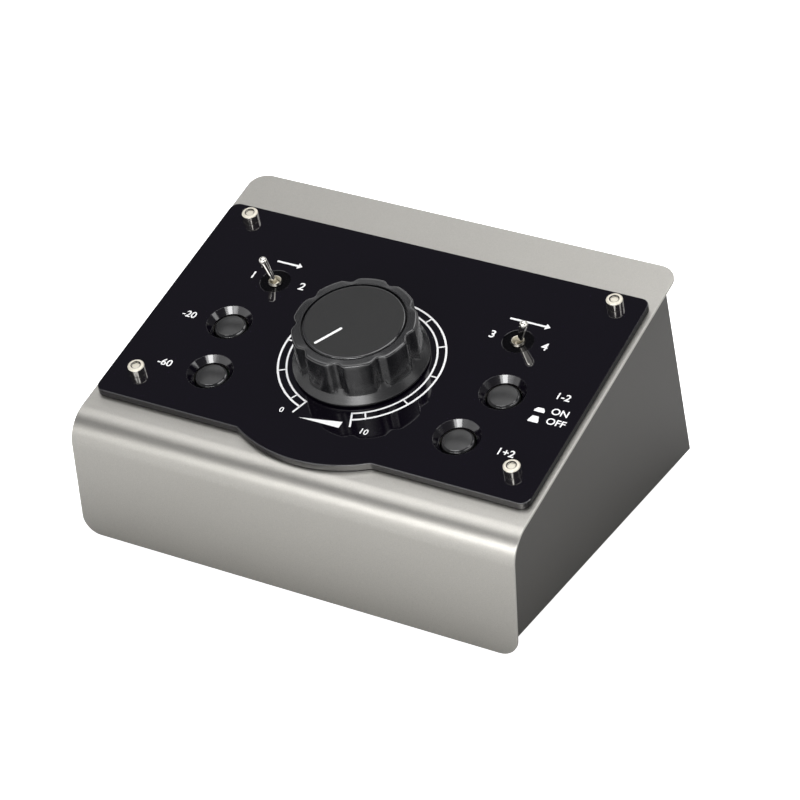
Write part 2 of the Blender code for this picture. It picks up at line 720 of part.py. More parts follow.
def build_button(name, place, finishes, deck):
    """Domed cap on the square plunger of a latching switch."""
    cap_finish, switch_finish, plunger_finish = finishes
    edge_top = FACE_TOP - BUTTON_SINK
    low = edge_top + BUTTON_DOME - BUTTON_HEIGHT
    profile = [(BUTTON_RADIUS, low), (BUTTON_RADIUS, edge_top - BUTTON_ROUND)]
    for turn_share in (1 / 2, 1.0):
        lean = turn_share * math.pi / 2
        draw_in = BUTTON_ROUND * (1 - math.cos(lean))
        profile.append((BUTTON_RADIUS - draw_in, edge_top - BUTTON_ROUND * (1 - math.sin(lean))))
    for radius_share in (2 / 3, 1 / 3):
        profile.append((BUTTON_RADIUS * radius_share, edge_top + BUTTON_DOME * (1 - radius_share ** 2)))
    button = add_object(f"button_{name}", turned(profile, FINE), cap_finish, deck, (*place, 0))
    side = PLUNGER_SIDE + 2 * REST_GAP
    socket = soft_box(side, side, low - OVERRUN, low + BUTTON_SOCKET_DEPTH, RUN_GAP)
    combine(button, add_cutter(f"button_socket_{name}", socket, deck, (*place, 0)), "DIFFERENCE")
    body_top = low - BUTTON_TRAVEL - SWITCH_TRAVEL_ROOM
    body = soft_box(SWITCH_SIDE, SWITCH_SIDE, REST_GAP - BOARD_DROP, body_top, SWITCH_EDGE)
    body = add_object(f"switch_body_{name}", body, switch_finish, deck, (*place, 0))
    well_side = PLUNGER_SIDE + 2 * MOVE_GAP
    well_low = body_top - PLUNGER_DEPTH
    well = soft_box(well_side, well_side, well_low, body_top + OVERRUN, RUN_GAP)
    combine(body, add_cutter(f"switch_well_{name}", well, deck, (*place, 0)), "DIFFERENCE")
    plunger_low = well_low + BUTTON_TRAVEL + MOVE_GAP
    plunger_top = low + BUTTON_SOCKET_DEPTH - REST_GAP
    plunger = soft_box(PLUNGER_SIDE, PLUNGER_SIDE, plunger_low, plunger_top, RUN_GAP)
    add_object(f"switch_plunger_{name}", plunger, plunger_finish, deck, (*place, 0))


def lever_profile():
    """Ball at the pivot, thin neck, and a bat that swells to a rounded tip."""
    profile = []
    for turn_share in (1 / 4, 1 / 2, 3 / 4):
        lean = turn_share * math.pi
        radius = LEVER_BALL_RADIUS * math.sin(lean)
        profile.append((radius, -LEVER_BALL_RADIUS * math.cos(lean)))
    neck_height = math.sqrt(LEVER_BALL_RADIUS ** 2 - LEVER_NECK_RADIUS ** 2)
    profile.append((LEVER_NECK_RADIUS, neck_height))
    profile.append((LEVER_NECK_RADIUS, LEVER_PIVOT_DROP))
    tip_centre = LEVER_REACH - LEVER_TIP_RADIUS
    for turn_share in (0, 1 / 4, 1 / 2, 3 / 4, 15 / 16):
        lean = turn_share * math.pi / 2
        radius = LEVER_TIP_RADIUS * math.cos(lean)
        profile.append((radius, tip_centre + LEVER_TIP_RADIUS * math.sin(lean)))
    return profile


def build_toggle(name, place, rest_side, finishes, deck):
    """Body on the board, chromed bushing standing in the panel's hole, and its swinging bat."""
    body_finish, metal = finishes
    low = REST_GAP - BOARD_DROP
    body_top = low + TOGGLE_HEIGHT
    rim = FACE_TOP + BUSH_PROUD
    body = soft_box(TOGGLE_WIDTH, TOGGLE_DEPTH, low, body_top, SWITCH_EDGE)
    add_object(f"toggle_body_{name}", body, body_finish, deck, (*place, 0))
    plate_low = body_top + REST_GAP
    plate_top = plate_low + TOGGLE_PLATE
    plate_radius = TOGGLE_DEPTH / 2
    shape = [
        (BUSH_BORE_RADIUS, plate_low), (plate_radius, plate_low), (plate_radius, plate_top),
        (BUSH_RADIUS, plate_top), (BUSH_RADIUS, rim - BUSH_ROUND), (BUSH_RADIUS - BUSH_ROUND, rim),
        (BUSH_BORE_RADIUS, rim),
    ]
    add_object(f"toggle_bushing_{name}", turned_tube(shape, ROUND), metal, deck, (*place, 0))
    pivot = (*place, rim - LEVER_PIVOT_DROP)
    lever = turned(lever_profile(), SMALL)
    add_object(f"toggle_lever_{name}", lever, metal, deck, pivot, (0, rest_side * LEVER_SWING, 0))


def build_control_board(finish, metal, deck):
    """Board below the controls with its four screws."""
    top = -BOARD_DROP
    low = top - BOARD_THICKNESS
    half_sizes = (BOARD_HALF_WIDTH, BOARD_HALF_DEPTH)
    outline = rounded_rectangle((-BOARD_HALF_WIDTH, -BOARD_HALF_DEPTH), half_sizes, BOARD_CORNER)
    holes = [circle(BOARD_SCREW_RADIUS + REST_GAP, SMALL, place) for place in standoff_places()]
    add_object("control_board", prism(outline, low, top, holes), finish, deck)
    head_top = low - REST_GAP
    edge = BOARD_SCREW_HEAD / 3
    profile = [
        (BOARD_SCREW_HEAD_RADIUS - edge, head_top - BOARD_SCREW_HEAD),
        (BOARD_SCREW_HEAD_RADIUS, head_top - BOARD_SCREW_HEAD + edge),
        (BOARD_SCREW_HEAD_RADIUS, head_top),
        (BOARD_SCREW_RADIUS, head_top),
        (BOARD_SCREW_RADIUS, head_top + BOARD_SCREW_LENGTH),
    ]
    for number, (x, y) in enumerate(standoff_places(), 1):
        add_object(f"board_screw_{number}", turned(profile, SMALL), metal, deck, (x, y, 0))


def meet(point, along, other, other_along):
    """Where two lines in the Y-Z plane cross."""
    cross = along.x * other_along.y - along.y * other_along.x
    gap = other - point
    return point + along * ((gap.x * other_along.y - gap.y * other_along.x) / cross)


def tray_profile(inset):
    """Side outline of the tray, drawn in by an inset from its outer faces."""
    under = SHEET + REST_GAP + inset
    slope_up = Vector((-SLOPE_DIR.y, SLOPE_DIR.x))
    front_out = Vector((FRONT_DIR.y, -FRONT_DIR.x))
    slope_point = CORNER - slope_up * under
    front_point = CORNER - front_out * under
    rear_point = REAR_CORNER - REAR_OUT * inset
    floor = Vector((0, FOOT_HEIGHT + inset))
    flat = Vector((1, 0))
    centre = CORNER + bend_centre_offset()
    start = SLOPE_ANGLE + math.pi / 2
    bow = arc(centre, BEND_RADIUS - under, start + BEND_TURN, start, BEND_STEPS)
    corners = [
        meet(slope_point, SLOPE_DIR, rear_point, REAR_UP),
        meet(rear_point, REAR_UP, floor, flat),
        meet(front_point, FRONT_DIR, floor, flat),
    ]
    return bow + [tuple(corner) for corner in corners]


def side_prism(outline, half_width):
    """Body across the case whose section in Y and Z is the outline."""
    bm = prism(outline, -half_width, half_width)
    bm.transform(Matrix(((0, 0, 1, 0), (1, 0, 0, 0), (0, 1, 0, 0), (0, 0, 0, 1))))
    return bm


def build_tray(finish, deck, rear):
    """Folded tray: closed outline, hollowed, then opened at the top and the front."""
    half = COVER_WIDTH / 2 - SIDE_INSET
    inner = half - SHEET
    tray = add_object("base_tray", side_prism(tray_profile(0.0), half), finish)
    bevel = tray.modifiers.new("Edges", "BEVEL")
    bevel.width = TRAY_EDGE
    bevel.segments = 1
    bevel.limit_method = "ANGLE"
    bevel.angle_limit = math.radians(40)
    combine(tray, add_cutter("tray_room", side_prism(tray_profile(SHEET), inner)), "DIFFERENCE")
    front = BEND_TANGENT - KNOB_TO_BEND + END_FLANGE
    lift = SHEET + REST_GAP
    top_end = meet(CORNER, SLOPE_DIR, REAR_CORNER, REAR_UP)
    back = (top_end - CORNER).length - KNOB_TO_BEND - END_FLANGE
    land = SCREW_X - SCREW_LAND
    window = rounded_rectangle((-land, front), (land, back), FREE_CORNER / 2, 3)
    opening = prism(window, -lift - SHEET - OVERRUN, -lift + OVERRUN)
    combine(tray, add_cutter("tray_window", opening, deck), "DIFFERENCE")
    mouth_low = FOOT_HEIGHT + FRONT_LIP
    mouth_high = CORNER.y - BEND_RADIUS - FRONT_LIP
    mouth_x = inner - FRONT_LIP
    mouth = rounded_rectangle((-mouth_x, mouth_low), (mouth_x, mouth_high), FREE_CORNER / 2, 3)
    reach = FRONT_LIP + OVERRUN
    mouth = prism(mouth, -reach, reach)
    spot = (0, CORNER.x + FRONT_LIP, 0)
    combine(tray, add_cutter("tray_mouth", mouth, None, spot, (math.pi / 2, 0, 0)), "DIFFERENCE")
    for number, (x, y) in enumerate(screw_places(), 1):
        hole = prism(circle(SCREW_RADIUS + REST_GAP, SMALL), -lift - SHEET - OVERRUN, -lift + OVERRUN)
        combine(tray, add_cutter(f"tray_screw_hole_{number}", hole, deck, (x, y, 0)), "DIFFERENCE")
    for number, (x, y) in enumerate(jack_places(), 1):
        hole = prism(circle(JACK_BUSH_RADIUS + REST_GAP, SMALL), -SHEET - OVERRUN, OVERRUN)
        combine(tray, add_cutter(f"tray_jack_hole_{number}", hole, rear, (x, y, 0)), "DIFFERENCE")


def jack_places():
    """Places on the rear wall, from its lower corner, row by row."""
    places = []
    for row in range(JACK_ROWS):
        for column in range(JACK_COLUMNS):
            x = (column - (JACK_COLUMNS - 1) / 2) * JACK_PITCH
            places.append((x, JACK_FIRST_ROW + row * JACK_ROW_PITCH))
    return places


def build_jacks(body_finish, nut_finish, rear):
    """Jack sockets behind the rear wall, each clamped by a nut on its bushing."""
    back = -SHEET - REST_GAP
    nut_hole = [circle(JACK_BUSH_RADIUS + RUN_GAP, SMALL)]
    for number, (x, y) in enumerate(jack_places(), 1):
        half = (JACK_WIDTH / 2, JACK_TALL / 2)
        body = prism(box_outline(half), back - JACK_LENGTH, back)
        jack = add_object(f"jack_body_{number}", body, body_finish, rear, (x, y, 0))
        bush = prism(circle(JACK_BUSH_RADIUS, SMALL), back - OVERRUN, JACK_BUSH_PROUD)
        combine(jack, add_cutter(f"jack_bushing_{number}", bush, rear, (x, y, 0)), "UNION")
        bore_end = JACK_BUSH_PROUD - JACK_BORE_DEPTH
        bore = prism(circle(JACK_BORE_RADIUS, ROUND), bore_end, JACK_BUSH_PROUD + OVERRUN)
        combine(jack, add_cutter(f"jack_bore_{number}", bore, rear, (x, y, 0)), "DIFFERENCE")
        nut = prism(hexagon(JACK_NUT_FLATS), REST_GAP, REST_GAP + JACK_NUT_HEIGHT, nut_hole)
        add_object(f"jack_nut_{number}", nut, nut_finish, rear, (x, y, 0))


def jack_board_faces():
    """Levels of the jack board's outer and inner faces, from the rear wall's outer face."""
    outer = -SHEET - 2 * REST_GAP - JACK_LENGTH
    return outer, outer - BOARD_THICKNESS


def build_jack_board(finish, rear):
    outer, inner = jack_board_faces()
    low = JACK_FIRST_ROW - JACK_BOARD_MARGIN
    high = JACK_FIRST_ROW + (JACK_ROWS - 1) * JACK_ROW_PITCH + JACK_BOARD_MARGIN
    outline = rounded_rectangle((-JACK_BOARD_HALF_WIDTH, low), (JACK_BOARD_HALF_WIDTH, high), BOARD_CORNER)
    add_object("jack_board", prism(outline, inner, outer), finish, rear)


def build_ribbon(plug_finish, ribbon_finish, deck, rear):
    """Ribbon held between a plug under the control board and one on the jack board."""
    deck_spot = deck_point()
    slope_up = Vector((-SLOPE_DIR.y, SLOPE_DIR.x))
    plug_top = -BOARD_DROP - BOARD_THICKNESS - REST_GAP
    plug = soft_box(PLUG_WIDTH, PLUG_DEPTH, plug_top - PLUG_HEIGHT, plug_top, PLUG_EDGE)
    add_object("ribbon_plug_control", plug, plug_finish, deck, (0, CONTROL_PLUG_Y, 0))
    wall_low = jack_board_faces()[1] - REST_GAP
    wall_y = JACK_FIRST_ROW + (JACK_ROWS - 1) * JACK_ROW_PITCH / 2
    plug = soft_box(PLUG_WIDTH, PLUG_DEPTH, wall_low - PLUG_HEIGHT, wall_low, PLUG_EDGE)
    add_object("ribbon_plug_jacks", plug, plug_finish, rear, (0, wall_y, 0))
    start = deck_spot + SLOPE_DIR * CONTROL_PLUG_Y + slope_up * (plug_top - PLUG_HEIGHT - REST_GAP)
    end = REAR_CORNER + REAR_UP * wall_y + REAR_OUT * (wall_low - PLUG_HEIGHT - REST_GAP)
    knots = [start, start - slope_up * RIBBON_SWEEP, end - REAR_OUT * RIBBON_SWEEP, end]
    faces = ([], [])
    for step in range(RIBBON_STEPS + 1):
        t = step / RIBBON_STEPS
        weights = ((1 - t) ** 3, 3 * t * (1 - t) ** 2, 3 * t ** 2 * (1 - t), t ** 3)
        spot = sum((knot * weight for knot, weight in zip(knots, weights)), Vector((0, 0)))
        slopes = (-3 * (1 - t) ** 2, 3 * (1 - t) * (1 - 3 * t), 3 * t * (2 - 3 * t), 3 * t ** 2)
        along = sum((knot * weight for knot, weight in zip(knots, slopes)), Vector((0, 0))).normalized()
        across = Vector((-along.y, along.x)) * (RIBBON_THICKNESS / 2)
        faces[0].append(tuple(spot + across))
        faces[1].append(tuple(spot - across))
    outline = faces[0] + faces[1][::-1]
    add_object("ribbon_cable", side_prism(outline, RIBBON_WIDTH / 2), ribbon_finish)


def build_feet(finish):
    top = FOOT_HEIGHT - REST_GAP
    profile = [
        (FOOT_RADIUS - FOOT_TAPER - FOOT_ROUND, 0.0),
        (FOOT_RADIUS - FOOT_TAPER, FOOT_ROUND),
        (FOOT_RADIUS, top),
    ]
    rows = {"front": FRONT_FOOT.x + FOOT_FRONT, "rear": REAR_CORNER.x - FOOT_REAR_MARGIN}
    for row, y in rows.items():
        for side, x in (("left", -FOOT_X), ("right", FOOT_X)):
            add_object(f"foot_{row}_{side}", turned(profile, ROUND), finish, None, (x, y, 0))


def main():
    clear_scene()
    silver = material("silver_satin", (0.42, 0.40, 0.37), 0.42, 0.85)
    dark_grey = material("tray_grey", (0.095, 0.093, 0.086), 0.55, 0.3)
    gloss_black = material("gloss_black", (0.010, 0.008, 0.012), 0.06)
    chrome = material("chrome", (0.80, 0.78, 0.74), 0.12, 1.0)
    zinc = material("zinc", (0.62, 0.62, 0.60), 0.35, 1.0)
    knob_black = material("knob_black", (0.016, 0.016, 0.018), 0.30)
    cap_grey = material("cap_grey", (0.045, 0.045, 0.045), 0.45)
    button_grey = material("button_grey", (0.040, 0.040, 0.040), 0.38)
    switch_black = material("switch_black", (0.020, 0.020, 0.022), 0.50)
    plunger_white = material("plunger_white", (0.72, 0.71, 0.67), 0.45)
    toggle_red = material("toggle_red", (0.30, 0.035, 0.030), 0.45)
    jack_black = material("jack_black", (0.018, 0.018, 0.020), 0.40)
    board_green = material("board_green", (0.020, 0.110, 0.050), 0.40)
    plug_grey = material("plug_grey", (0.060, 0.060, 0.065), 0.50)
    ribbon_grey = material("ribbon_grey", (0.36, 0.36, 0.37), 0.55)
    rubber = material("rubber", (0.020, 0.020, 0.020), 0.80)

    deck_y, deck_z = deck_point()
    deck = add_frame("deck_frame", (0, deck_y, deck_z), (SLOPE_ANGLE, 0, 0))
    rear = add_frame("rear_frame", (0, REAR_CORNER.x, REAR_CORNER.y), (math.pi / 2 - REAR_LEAN, 0, math.pi))

    cover = build_cover(silver, deck)
    add_standoffs(cover, deck)
    build_face_panel(gloss_black, deck)
    build_panel_screws(chrome, deck)
    build_tray(dark_grey, deck, rear)
    build_feet(rubber)
    build_knob(knob_black, cap_grey, deck)
    build_potentiometer(zinc, zinc, deck)
    for name, place in button_places().items():
        build_button(name, place, (button_grey, switch_black, plunger_white), deck)
    for name, place in toggle_places().items():
        rest_side = math.copysign(1, place[0])
        build_toggle(name, place, rest_side, (toggle_red, chrome), deck)
    build_control_board(board_green, zinc, deck)
    build_jacks(jack_black, zinc, rear)
    build_jack_board(board_green, rear)
    build_ribbon(plug_grey, ribbon_grey, deck, rear)


main()
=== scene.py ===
# %% [markdown]
# # A desktop monitor controller
# A folded sheet-metal wedge carries a glossy black panel, a big fluted volume knob, four push
# buttons and two toggles. The solids come packed in metres, in one shared frame. This lesson
# dresses them: smoother meshes for what shines, print, procedural finishes, and a plain studio.

# %% Load the solids
import json
import math

import bmesh
import bpy
from mathutils import Euler, Matrix, Vector


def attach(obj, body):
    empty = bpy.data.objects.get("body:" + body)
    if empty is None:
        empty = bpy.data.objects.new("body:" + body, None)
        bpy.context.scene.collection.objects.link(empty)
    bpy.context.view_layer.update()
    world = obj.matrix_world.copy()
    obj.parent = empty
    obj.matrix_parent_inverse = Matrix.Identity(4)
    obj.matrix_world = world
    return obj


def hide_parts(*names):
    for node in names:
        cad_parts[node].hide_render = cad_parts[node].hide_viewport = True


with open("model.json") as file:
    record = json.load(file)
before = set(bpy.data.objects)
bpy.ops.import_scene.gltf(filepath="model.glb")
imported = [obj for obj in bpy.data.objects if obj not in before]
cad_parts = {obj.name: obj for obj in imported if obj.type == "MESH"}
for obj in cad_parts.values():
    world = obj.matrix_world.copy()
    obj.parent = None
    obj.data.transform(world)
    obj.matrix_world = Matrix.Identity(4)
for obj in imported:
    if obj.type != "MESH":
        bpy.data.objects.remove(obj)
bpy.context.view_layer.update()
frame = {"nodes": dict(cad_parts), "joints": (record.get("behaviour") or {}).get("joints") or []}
nodes = frame["nodes"]
joints = {joint["name"]: joint for joint in frame["joints"]}
print("solids:", len(nodes), "joints:", len(joints))

# %% [markdown]
# ## Where things are
# Most pieces stand on the sloping deck, so their places are easiest to give in the deck's own
# frame: X to the right, Y up the slope, Z out of the cover, and zero where the knob's axis meets
# it. The rear wall has such a frame too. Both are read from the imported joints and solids, and a
# small helper measures any solid along either frame.

# %% Frames of the deck and the rear wall
MM = 0.001
VOLUME_POINT_LIFT = 13.3 * MM   # the joint's point, above the cover
REAR_LEAN = math.radians(21.9)


def deck_matrix():
    joint = joints["volume_turn"]
    up = -Vector(joint["axis"])
    origin = Vector(joint["pos_m"]) - up * VOLUME_POINT_LIFT
    return Matrix.Translation(origin) @ Matrix.Rotation(math.atan2(-up.y, up.z), 4, "X")


def extent(name, place):
    """Lowest and highest corner of a solid, measured along a frame."""
    back = place.inverted()
    points = [back @ vert.co for vert in nodes[name].data.vertices]
    low = Vector([min(point[axis] for point in points) for axis in range(3)])
    high = Vector([max(point[axis] for point in points) for axis in range(3)])
    return low, high


def middle(name, place):
    low, high = extent(name, place)
    return (low + high) / 2


def spot(name):
    """Middle of a solid, seen along the deck's Z."""
    return middle(name, DECK).to_tuple()[:2]


def radius_of(name):
    low, high = extent(name, DECK)
    return (high.x - low.x) / 2


DECK = deck_matrix()
REAR = Euler((math.pi / 2 - REAR_LEAN, 0, math.pi)).to_matrix().to_4x4()
FACE = extent("face_panel", DECK)[1].z
COVER_TOP = extent("face_panel", DECK)[0].z
DECK_UP = DECK.to_3x3() @ Vector((0, 0, 1))
print("panel face above the cover, mm:", round(FACE / MM, 2))

# %% [markdown]
# ## Shaping tools
# Machined and moulded pieces never have dead sharp edges: a small radius on each corner is what
# catches the light. So outlines are given as corners with a radius each, and a helper rounds them.
# Round pieces are turned from such an outline; flat ones are cut from it as plates.

# %% Outlines with rounded corners
TINY_RADIUS = 0.002 * MM    # a turned profile that ends on the axis keeps this radius
SAME_PLACE = 0.0005 * MM    # points nearer than this are one


def rounded(corners, steps=4, closed=False):
    """Points along (x, y, radius) corners, each rounded by an arc."""
    points = []
    count = len(corners)
    for index, (x, y, radius) in enumerate(corners):
        here = Vector((x, y))
        if radius == 0 or (not closed and index in (0, count - 1)):
            points.append(here)
            continue
        before = (Vector(corners[index - 1][:2]) - here).normalized()
        after = (Vector(corners[(index + 1) % count][:2]) - here).normalized()
        half = before.angle(after) / 2
        centre = here + (before + after).normalized() * (radius / math.sin(half))
        start = here + before * (radius / math.tan(half)) - centre
        end = here + after * (radius / math.tan(half)) - centre
        turn = start.angle_signed(end)
        for step in range(steps + 1):
            spin = Matrix.Rotation(-turn * step / steps, 2)
            points.append(centre + spin @ start)
    return points


def circle(radius, count, centre=(0, 0), start=0.0):
    turns = [start + 2 * math.pi * step / count for step in range(count)]
    return on_circle(centre, radius, turns)


def arc(centre, radius, start, end, steps):
    """Points from one angle to another, in degrees."""
    turns = [math.radians(start + (end - start) * step / steps) for step in range(steps + 1)]
    return on_circle(centre, radius, turns)


def on_circle(centre, radius, turns):
    x, y = centre
    return [Vector((x + radius * math.cos(turn), y + radius * math.sin(turn))) for turn in turns]


def oblong(length, width):
    x, y = length / 2, width / 2
    return [(-x, -y), (x, -y), (x, y), (-x, y)]


def loop(bm, points, level):
    return [bm.verts.new((x, y, level)) for x, y in points]


def bridge(bm, lower, upper):
    """Quads between two loops of as many points."""
    for index in range(len(lower)):
        following = (index + 1) % len(lower)
        bm.faces.new((lower[index], lower[following], upper[following], upper[index]))


def turned(profile, count=96, tube=False):
    """Mesh of a profile of (radius, height) points, turned about Z."""
    bm = bmesh.new()
    rings = [loop(bm, circle(max(radius, TINY_RADIUS), count), height)
             for radius, height in profile]
    pairs = list(zip(rings, rings[1:]))
    if tube:
        pairs.append((rings[-1], rings[0]))
    for lower, upper in pairs:
        bridge(bm, lower, upper)
    if not tube:
        bm.faces.new(rings[0])
        bm.faces.new(rings[-1])
    return as_mesh(bm)


def plate(outline, low, high, holes=()):
    """Flat plate with through holes."""
    bm = bmesh.new()
    for level in (low, high):
        loops = [loop(bm, points, level) for points in (outline, *holes)]
        edges = []
        for ring in loops:
            following = ring[1:] + ring[:1]
            edges += [bm.edges.new(pair) for pair in zip(ring, following)]
        bmesh.ops.triangle_fill(bm, edges=edges, use_beauty=True)
        if level == low:
            lower = loops
    for under, over in zip(lower, loops):
        bridge(bm, under, over)
    return as_mesh(bm)


def as_mesh(bm):
    bmesh.ops.remove_doubles(bm, verts=bm.verts, dist=SAME_PLACE)
    bmesh.ops.recalc_face_normals(bm, faces=bm.faces)
    mesh = bpy.data.meshes.new("shape")
    bm.to_mesh(mesh)
    bm.free()
    return mesh


rounded_square = rounded([(x, y, MM) for x, y in oblong(9 * MM, 9 * MM)], closed=True)
print("points of a rounded square:", len(rounded_square))

# %% [markdown]
# ## From a mesh to a piece of the model
# Each piece is shaped where it is easy to shape, then its place is baked into the mesh, so that
# the object itself sits at the origin. Modifiers are turned into plain geometry before that. Big
# flat faces beside small rounded edges need weighted normals, or the flat would shade like a
# pillow.

# %% Bake, place and join to a body
def baked(item):
    """Plain mesh of an object with its modifiers."""
    bpy.context.view_layer.update()
    graph = bpy.context.evaluated_depsgraph_get()
    mesh = bpy.data.meshes.new_from_object(item.evaluated_get(graph), depsgraph=graph)
    bpy.data.objects.remove(item)
    return mesh


def loose(mesh, name="shape"):
    item = bpy.data.objects.new(name, mesh)
    bpy.context.scene.collection.objects.link(item)
    return item


def softened(mesh, width, segments=3, angle=40):
    """Mesh with its sharp edges rounded."""
    item = loose(mesh)
    bevel = item.modifiers.new("Edges", "BEVEL")
    bevel.width = width
    bevel.segments = segments
    bevel.angle_limit = math.radians(angle)
    return baked(item)


def cut(mesh, others, operation="DIFFERENCE"):
    """Mesh with the others taken out of it, or what it has in common with them."""
    item = loose(mesh)
    tools = [loose(other) for other in others]
    for tool in tools:
        step = item.modifiers.new("Cut", "BOOLEAN")
        step.operation = operation
        step.solver = "EXACT"
        step.object = tool
    mesh = baked(item)
    for tool in tools:
        bpy.data.objects.remove(tool)
    return mesh


def piece(name, mesh, finish, body, place=None, stands_for=(),
          crease=32, weighted=True):
    """Finished piece: shaded, placed, given its finish and joined to its body."""
    if place is not None:
        mesh.transform(place)
    mesh.shade_smooth()
    mesh.set_sharp_from_angle(angle=math.radians(crease))
    item = loose(mesh, name)
    if weighted:
        normals = item.modifiers.new("Normals", "WEIGHTED_NORMAL")
        normals.keep_sharp = True
        mesh = baked(item)
        item = loose(mesh, name)
    mesh.name = name
    mesh.materials.clear()
    mesh.materials.append(finish)
    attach(item, body)
    if stands_for:
        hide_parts(*stands_for)
    return item


def face_finish(item, finish, chosen):
    """A second finish for faces that a test picks by their centre and normal on the deck."""
    item.data.materials.append(finish)
    number = len(item.data.materials) - 1
    back = DECK.inverted()
    turn = back.to_3x3()
    for face in item.data.polygons:
        if chosen(back @ face.center, turn @ face.normal):
            face.material_index = number


def merged(meshes):
    """One mesh from several."""
    bm = bmesh.new()
    for mesh in meshes:
        bm.from_mesh(mesh)
    joined = bpy.data.meshes.new("joined")
    bm.to_mesh(joined)
    bm.free()
    return joined


# %% [markdown]
# ## Trees for Geometry Nodes
# What repeats, or follows a rule, is made by Geometry Nodes. A tree is easier to read when each
# node is one call, so two helpers make a tree with named inputs and add nodes to it. A modifier's
# inputs are set through the socket's identifier, which stays the same when a name changes.

# %% Helpers that build node trees
def new_tree(name, inputs):
    tree = bpy.data.node_groups.new(name, "GeometryNodeTree")
    tree.interface.new_socket("Geometry", in_out="INPUT", socket_type="NodeSocketGeometry")
    for label, kind in inputs.items():
        tree.interface.new_socket(label, in_out="INPUT", socket_type="NodeSocket" + kind)
    tree.interface.new_socket("Geometry", in_out="OUTPUT", socket_type="NodeSocketGeometry")
    return tree, tree.nodes.new("NodeGroupInput"), tree.nodes.new("NodeGroupOutput")


def add(tree, kind, values=None, **settings):
    """Node with its settings; values are numbers or outputs, by input name or number."""
    node = tree.nodes.new(kind)
    for label, setting in settings.items():
        setattr(node, label, setting)
    for key, value in (values or {}).items():
        if isinstance(value, bpy.types.NodeSocket):
            tree.links.new(value, node.inputs[key])
        else:
            node.inputs[key].default_value = value
    return node


def math_in(tree, kind="ShaderNodeMath"):
    """Shorthand for a tree's math nodes: calc(operation, a, b, c) gives the result's socket."""
    def calc(operation, *values):
        return add(tree, kind, dict(enumerate(values)), operation=operation).outputs[0]
    return calc


def end_tree(tree, geometry, finish, outputs):
    """Every tree ends with real geometry and its material."""
    real = add(tree, "GeometryNodeRealizeInstances", {"Geometry": geometry})
    painted = add(tree, "GeometryNodeSetMaterial",
                  {"Geometry": real.outputs[0], "Material": finish})
    tree.links.new(painted.outputs[0], outputs.inputs[0])


def grow(mesh, tree, values):
    """Plain mesh that the tree makes from a mesh."""
    item = loose(mesh)
    modifier = item.modifiers.new(tree.name, "NODES")
    modifier.node_group = tree
    for socket in tree.interface.items_tree:
        if socket.item_type == "SOCKET" and socket.in_out == "INPUT" and socket.name in values:
            modifier[socket.identifier] = values[socket.name]
    return baked(item)


print("node groups so far:", len(bpy.data.node_groups))

# %% [markdown]
# ## Finishes
# Three effects are shared by many finishes, so each is a node group of its own: a fine grain for
# sprayed paint and moulded plastic, a slow mottling of the colour, and the hair lines of
# machining. A group only gives colours, values and heights; the shader and its constants stay in
# the material, where the export can read them.

# %% Shared effects
COARSE_GRAIN = 0.18     # scale of the wider noise, as a share of the fine one's
ROUGHNESS_SWING = 0.5   # how much the roughness follows the mottling
HAIRLINE_STRETCH = (0.05, 0.05, 1.0)   # noise drawn out across Z becomes lines


def new_effect(name, inputs, outputs):
    group = bpy.data.node_groups.new(name, "ShaderNodeTree")
    for label, kind, value in inputs:
        socket = group.interface.new_socket(label, in_out="INPUT", socket_type="NodeSocket" + kind)
        socket.default_value = value
    for label, kind in outputs:
        group.interface.new_socket(label, in_out="OUTPUT", socket_type="NodeSocket" + kind)
    return group, group.nodes.new("NodeGroupInput"), group.nodes.new("NodeGroupOutput")


def grain_effect():
    """Two sizes of noise: a height for the bump and a value for the flakes."""
    group, given, result = new_effect(
        "Grain",
        [("Scale", "Float", 3000.0), ("Coarse Share", "Float", 0.3)],
        [("Height", "Float"), ("Flake", "Float")],
    )
    calc = math_in(group)
    place = add(group, "ShaderNodeTexCoord").outputs["Object"]
    fine = add(group, "ShaderNodeTexNoise",
               {"Vector": place, "Scale": given.outputs["Scale"], "Detail": 2.0})
    wide = calc("MULTIPLY", given.outputs["Scale"], COARSE_GRAIN)
    coarse = add(group, "ShaderNodeTexNoise", {"Vector": place, "Scale": wide, "Detail": 1.0})
    share = given.outputs["Coarse Share"]
    height = calc("MULTIPLY_ADD", coarse.outputs["Fac"], share, fine.outputs["Fac"])
    group.links.new(height, result.inputs["Height"])
    group.links.new(fine.outputs["Fac"], result.inputs["Flake"])
    return group


def brightened(tree, colour, noise, amount):
    """Colour made lighter or darker by a noise, and the swing of its brightness."""
    calc = math_in(tree)
    swing = calc("MULTIPLY", calc("SUBTRACT", noise, 0.5), amount)
    hue = add(tree, "ShaderNodeHueSaturation",
              {"Color": colour, "Value": calc("ADD", swing, 1.0)})
    return hue.outputs[0], swing


def mottle_effect():
    """Slow change of colour and roughness over a surface."""
    group, given, result = new_effect(
        "Mottle",
        [("Color", "Color", (0.5, 0.5, 0.5, 1.0)), ("Scale", "Float", 40.0),
         ("Amount", "Float", 0.1), ("Roughness", "Float", 0.4)],
        [("Color", "Color"), ("Roughness", "Float")],
    )
    calc = math_in(group)
    place = add(group, "ShaderNodeTexCoord").outputs["Object"]
    noise = add(group, "ShaderNodeTexNoise",
                {"Vector": place, "Scale": given.outputs["Scale"], "Detail": 3.0})
    colour, swing = brightened(group, given.outputs["Color"], noise.outputs["Fac"],
                               given.outputs["Amount"])
    group.links.new(colour, result.inputs["Color"])
    rough = calc("MULTIPLY_ADD", swing, ROUGHNESS_SWING, given.outputs["Roughness"])
    group.links.new(rough, result.inputs["Roughness"])
    return group


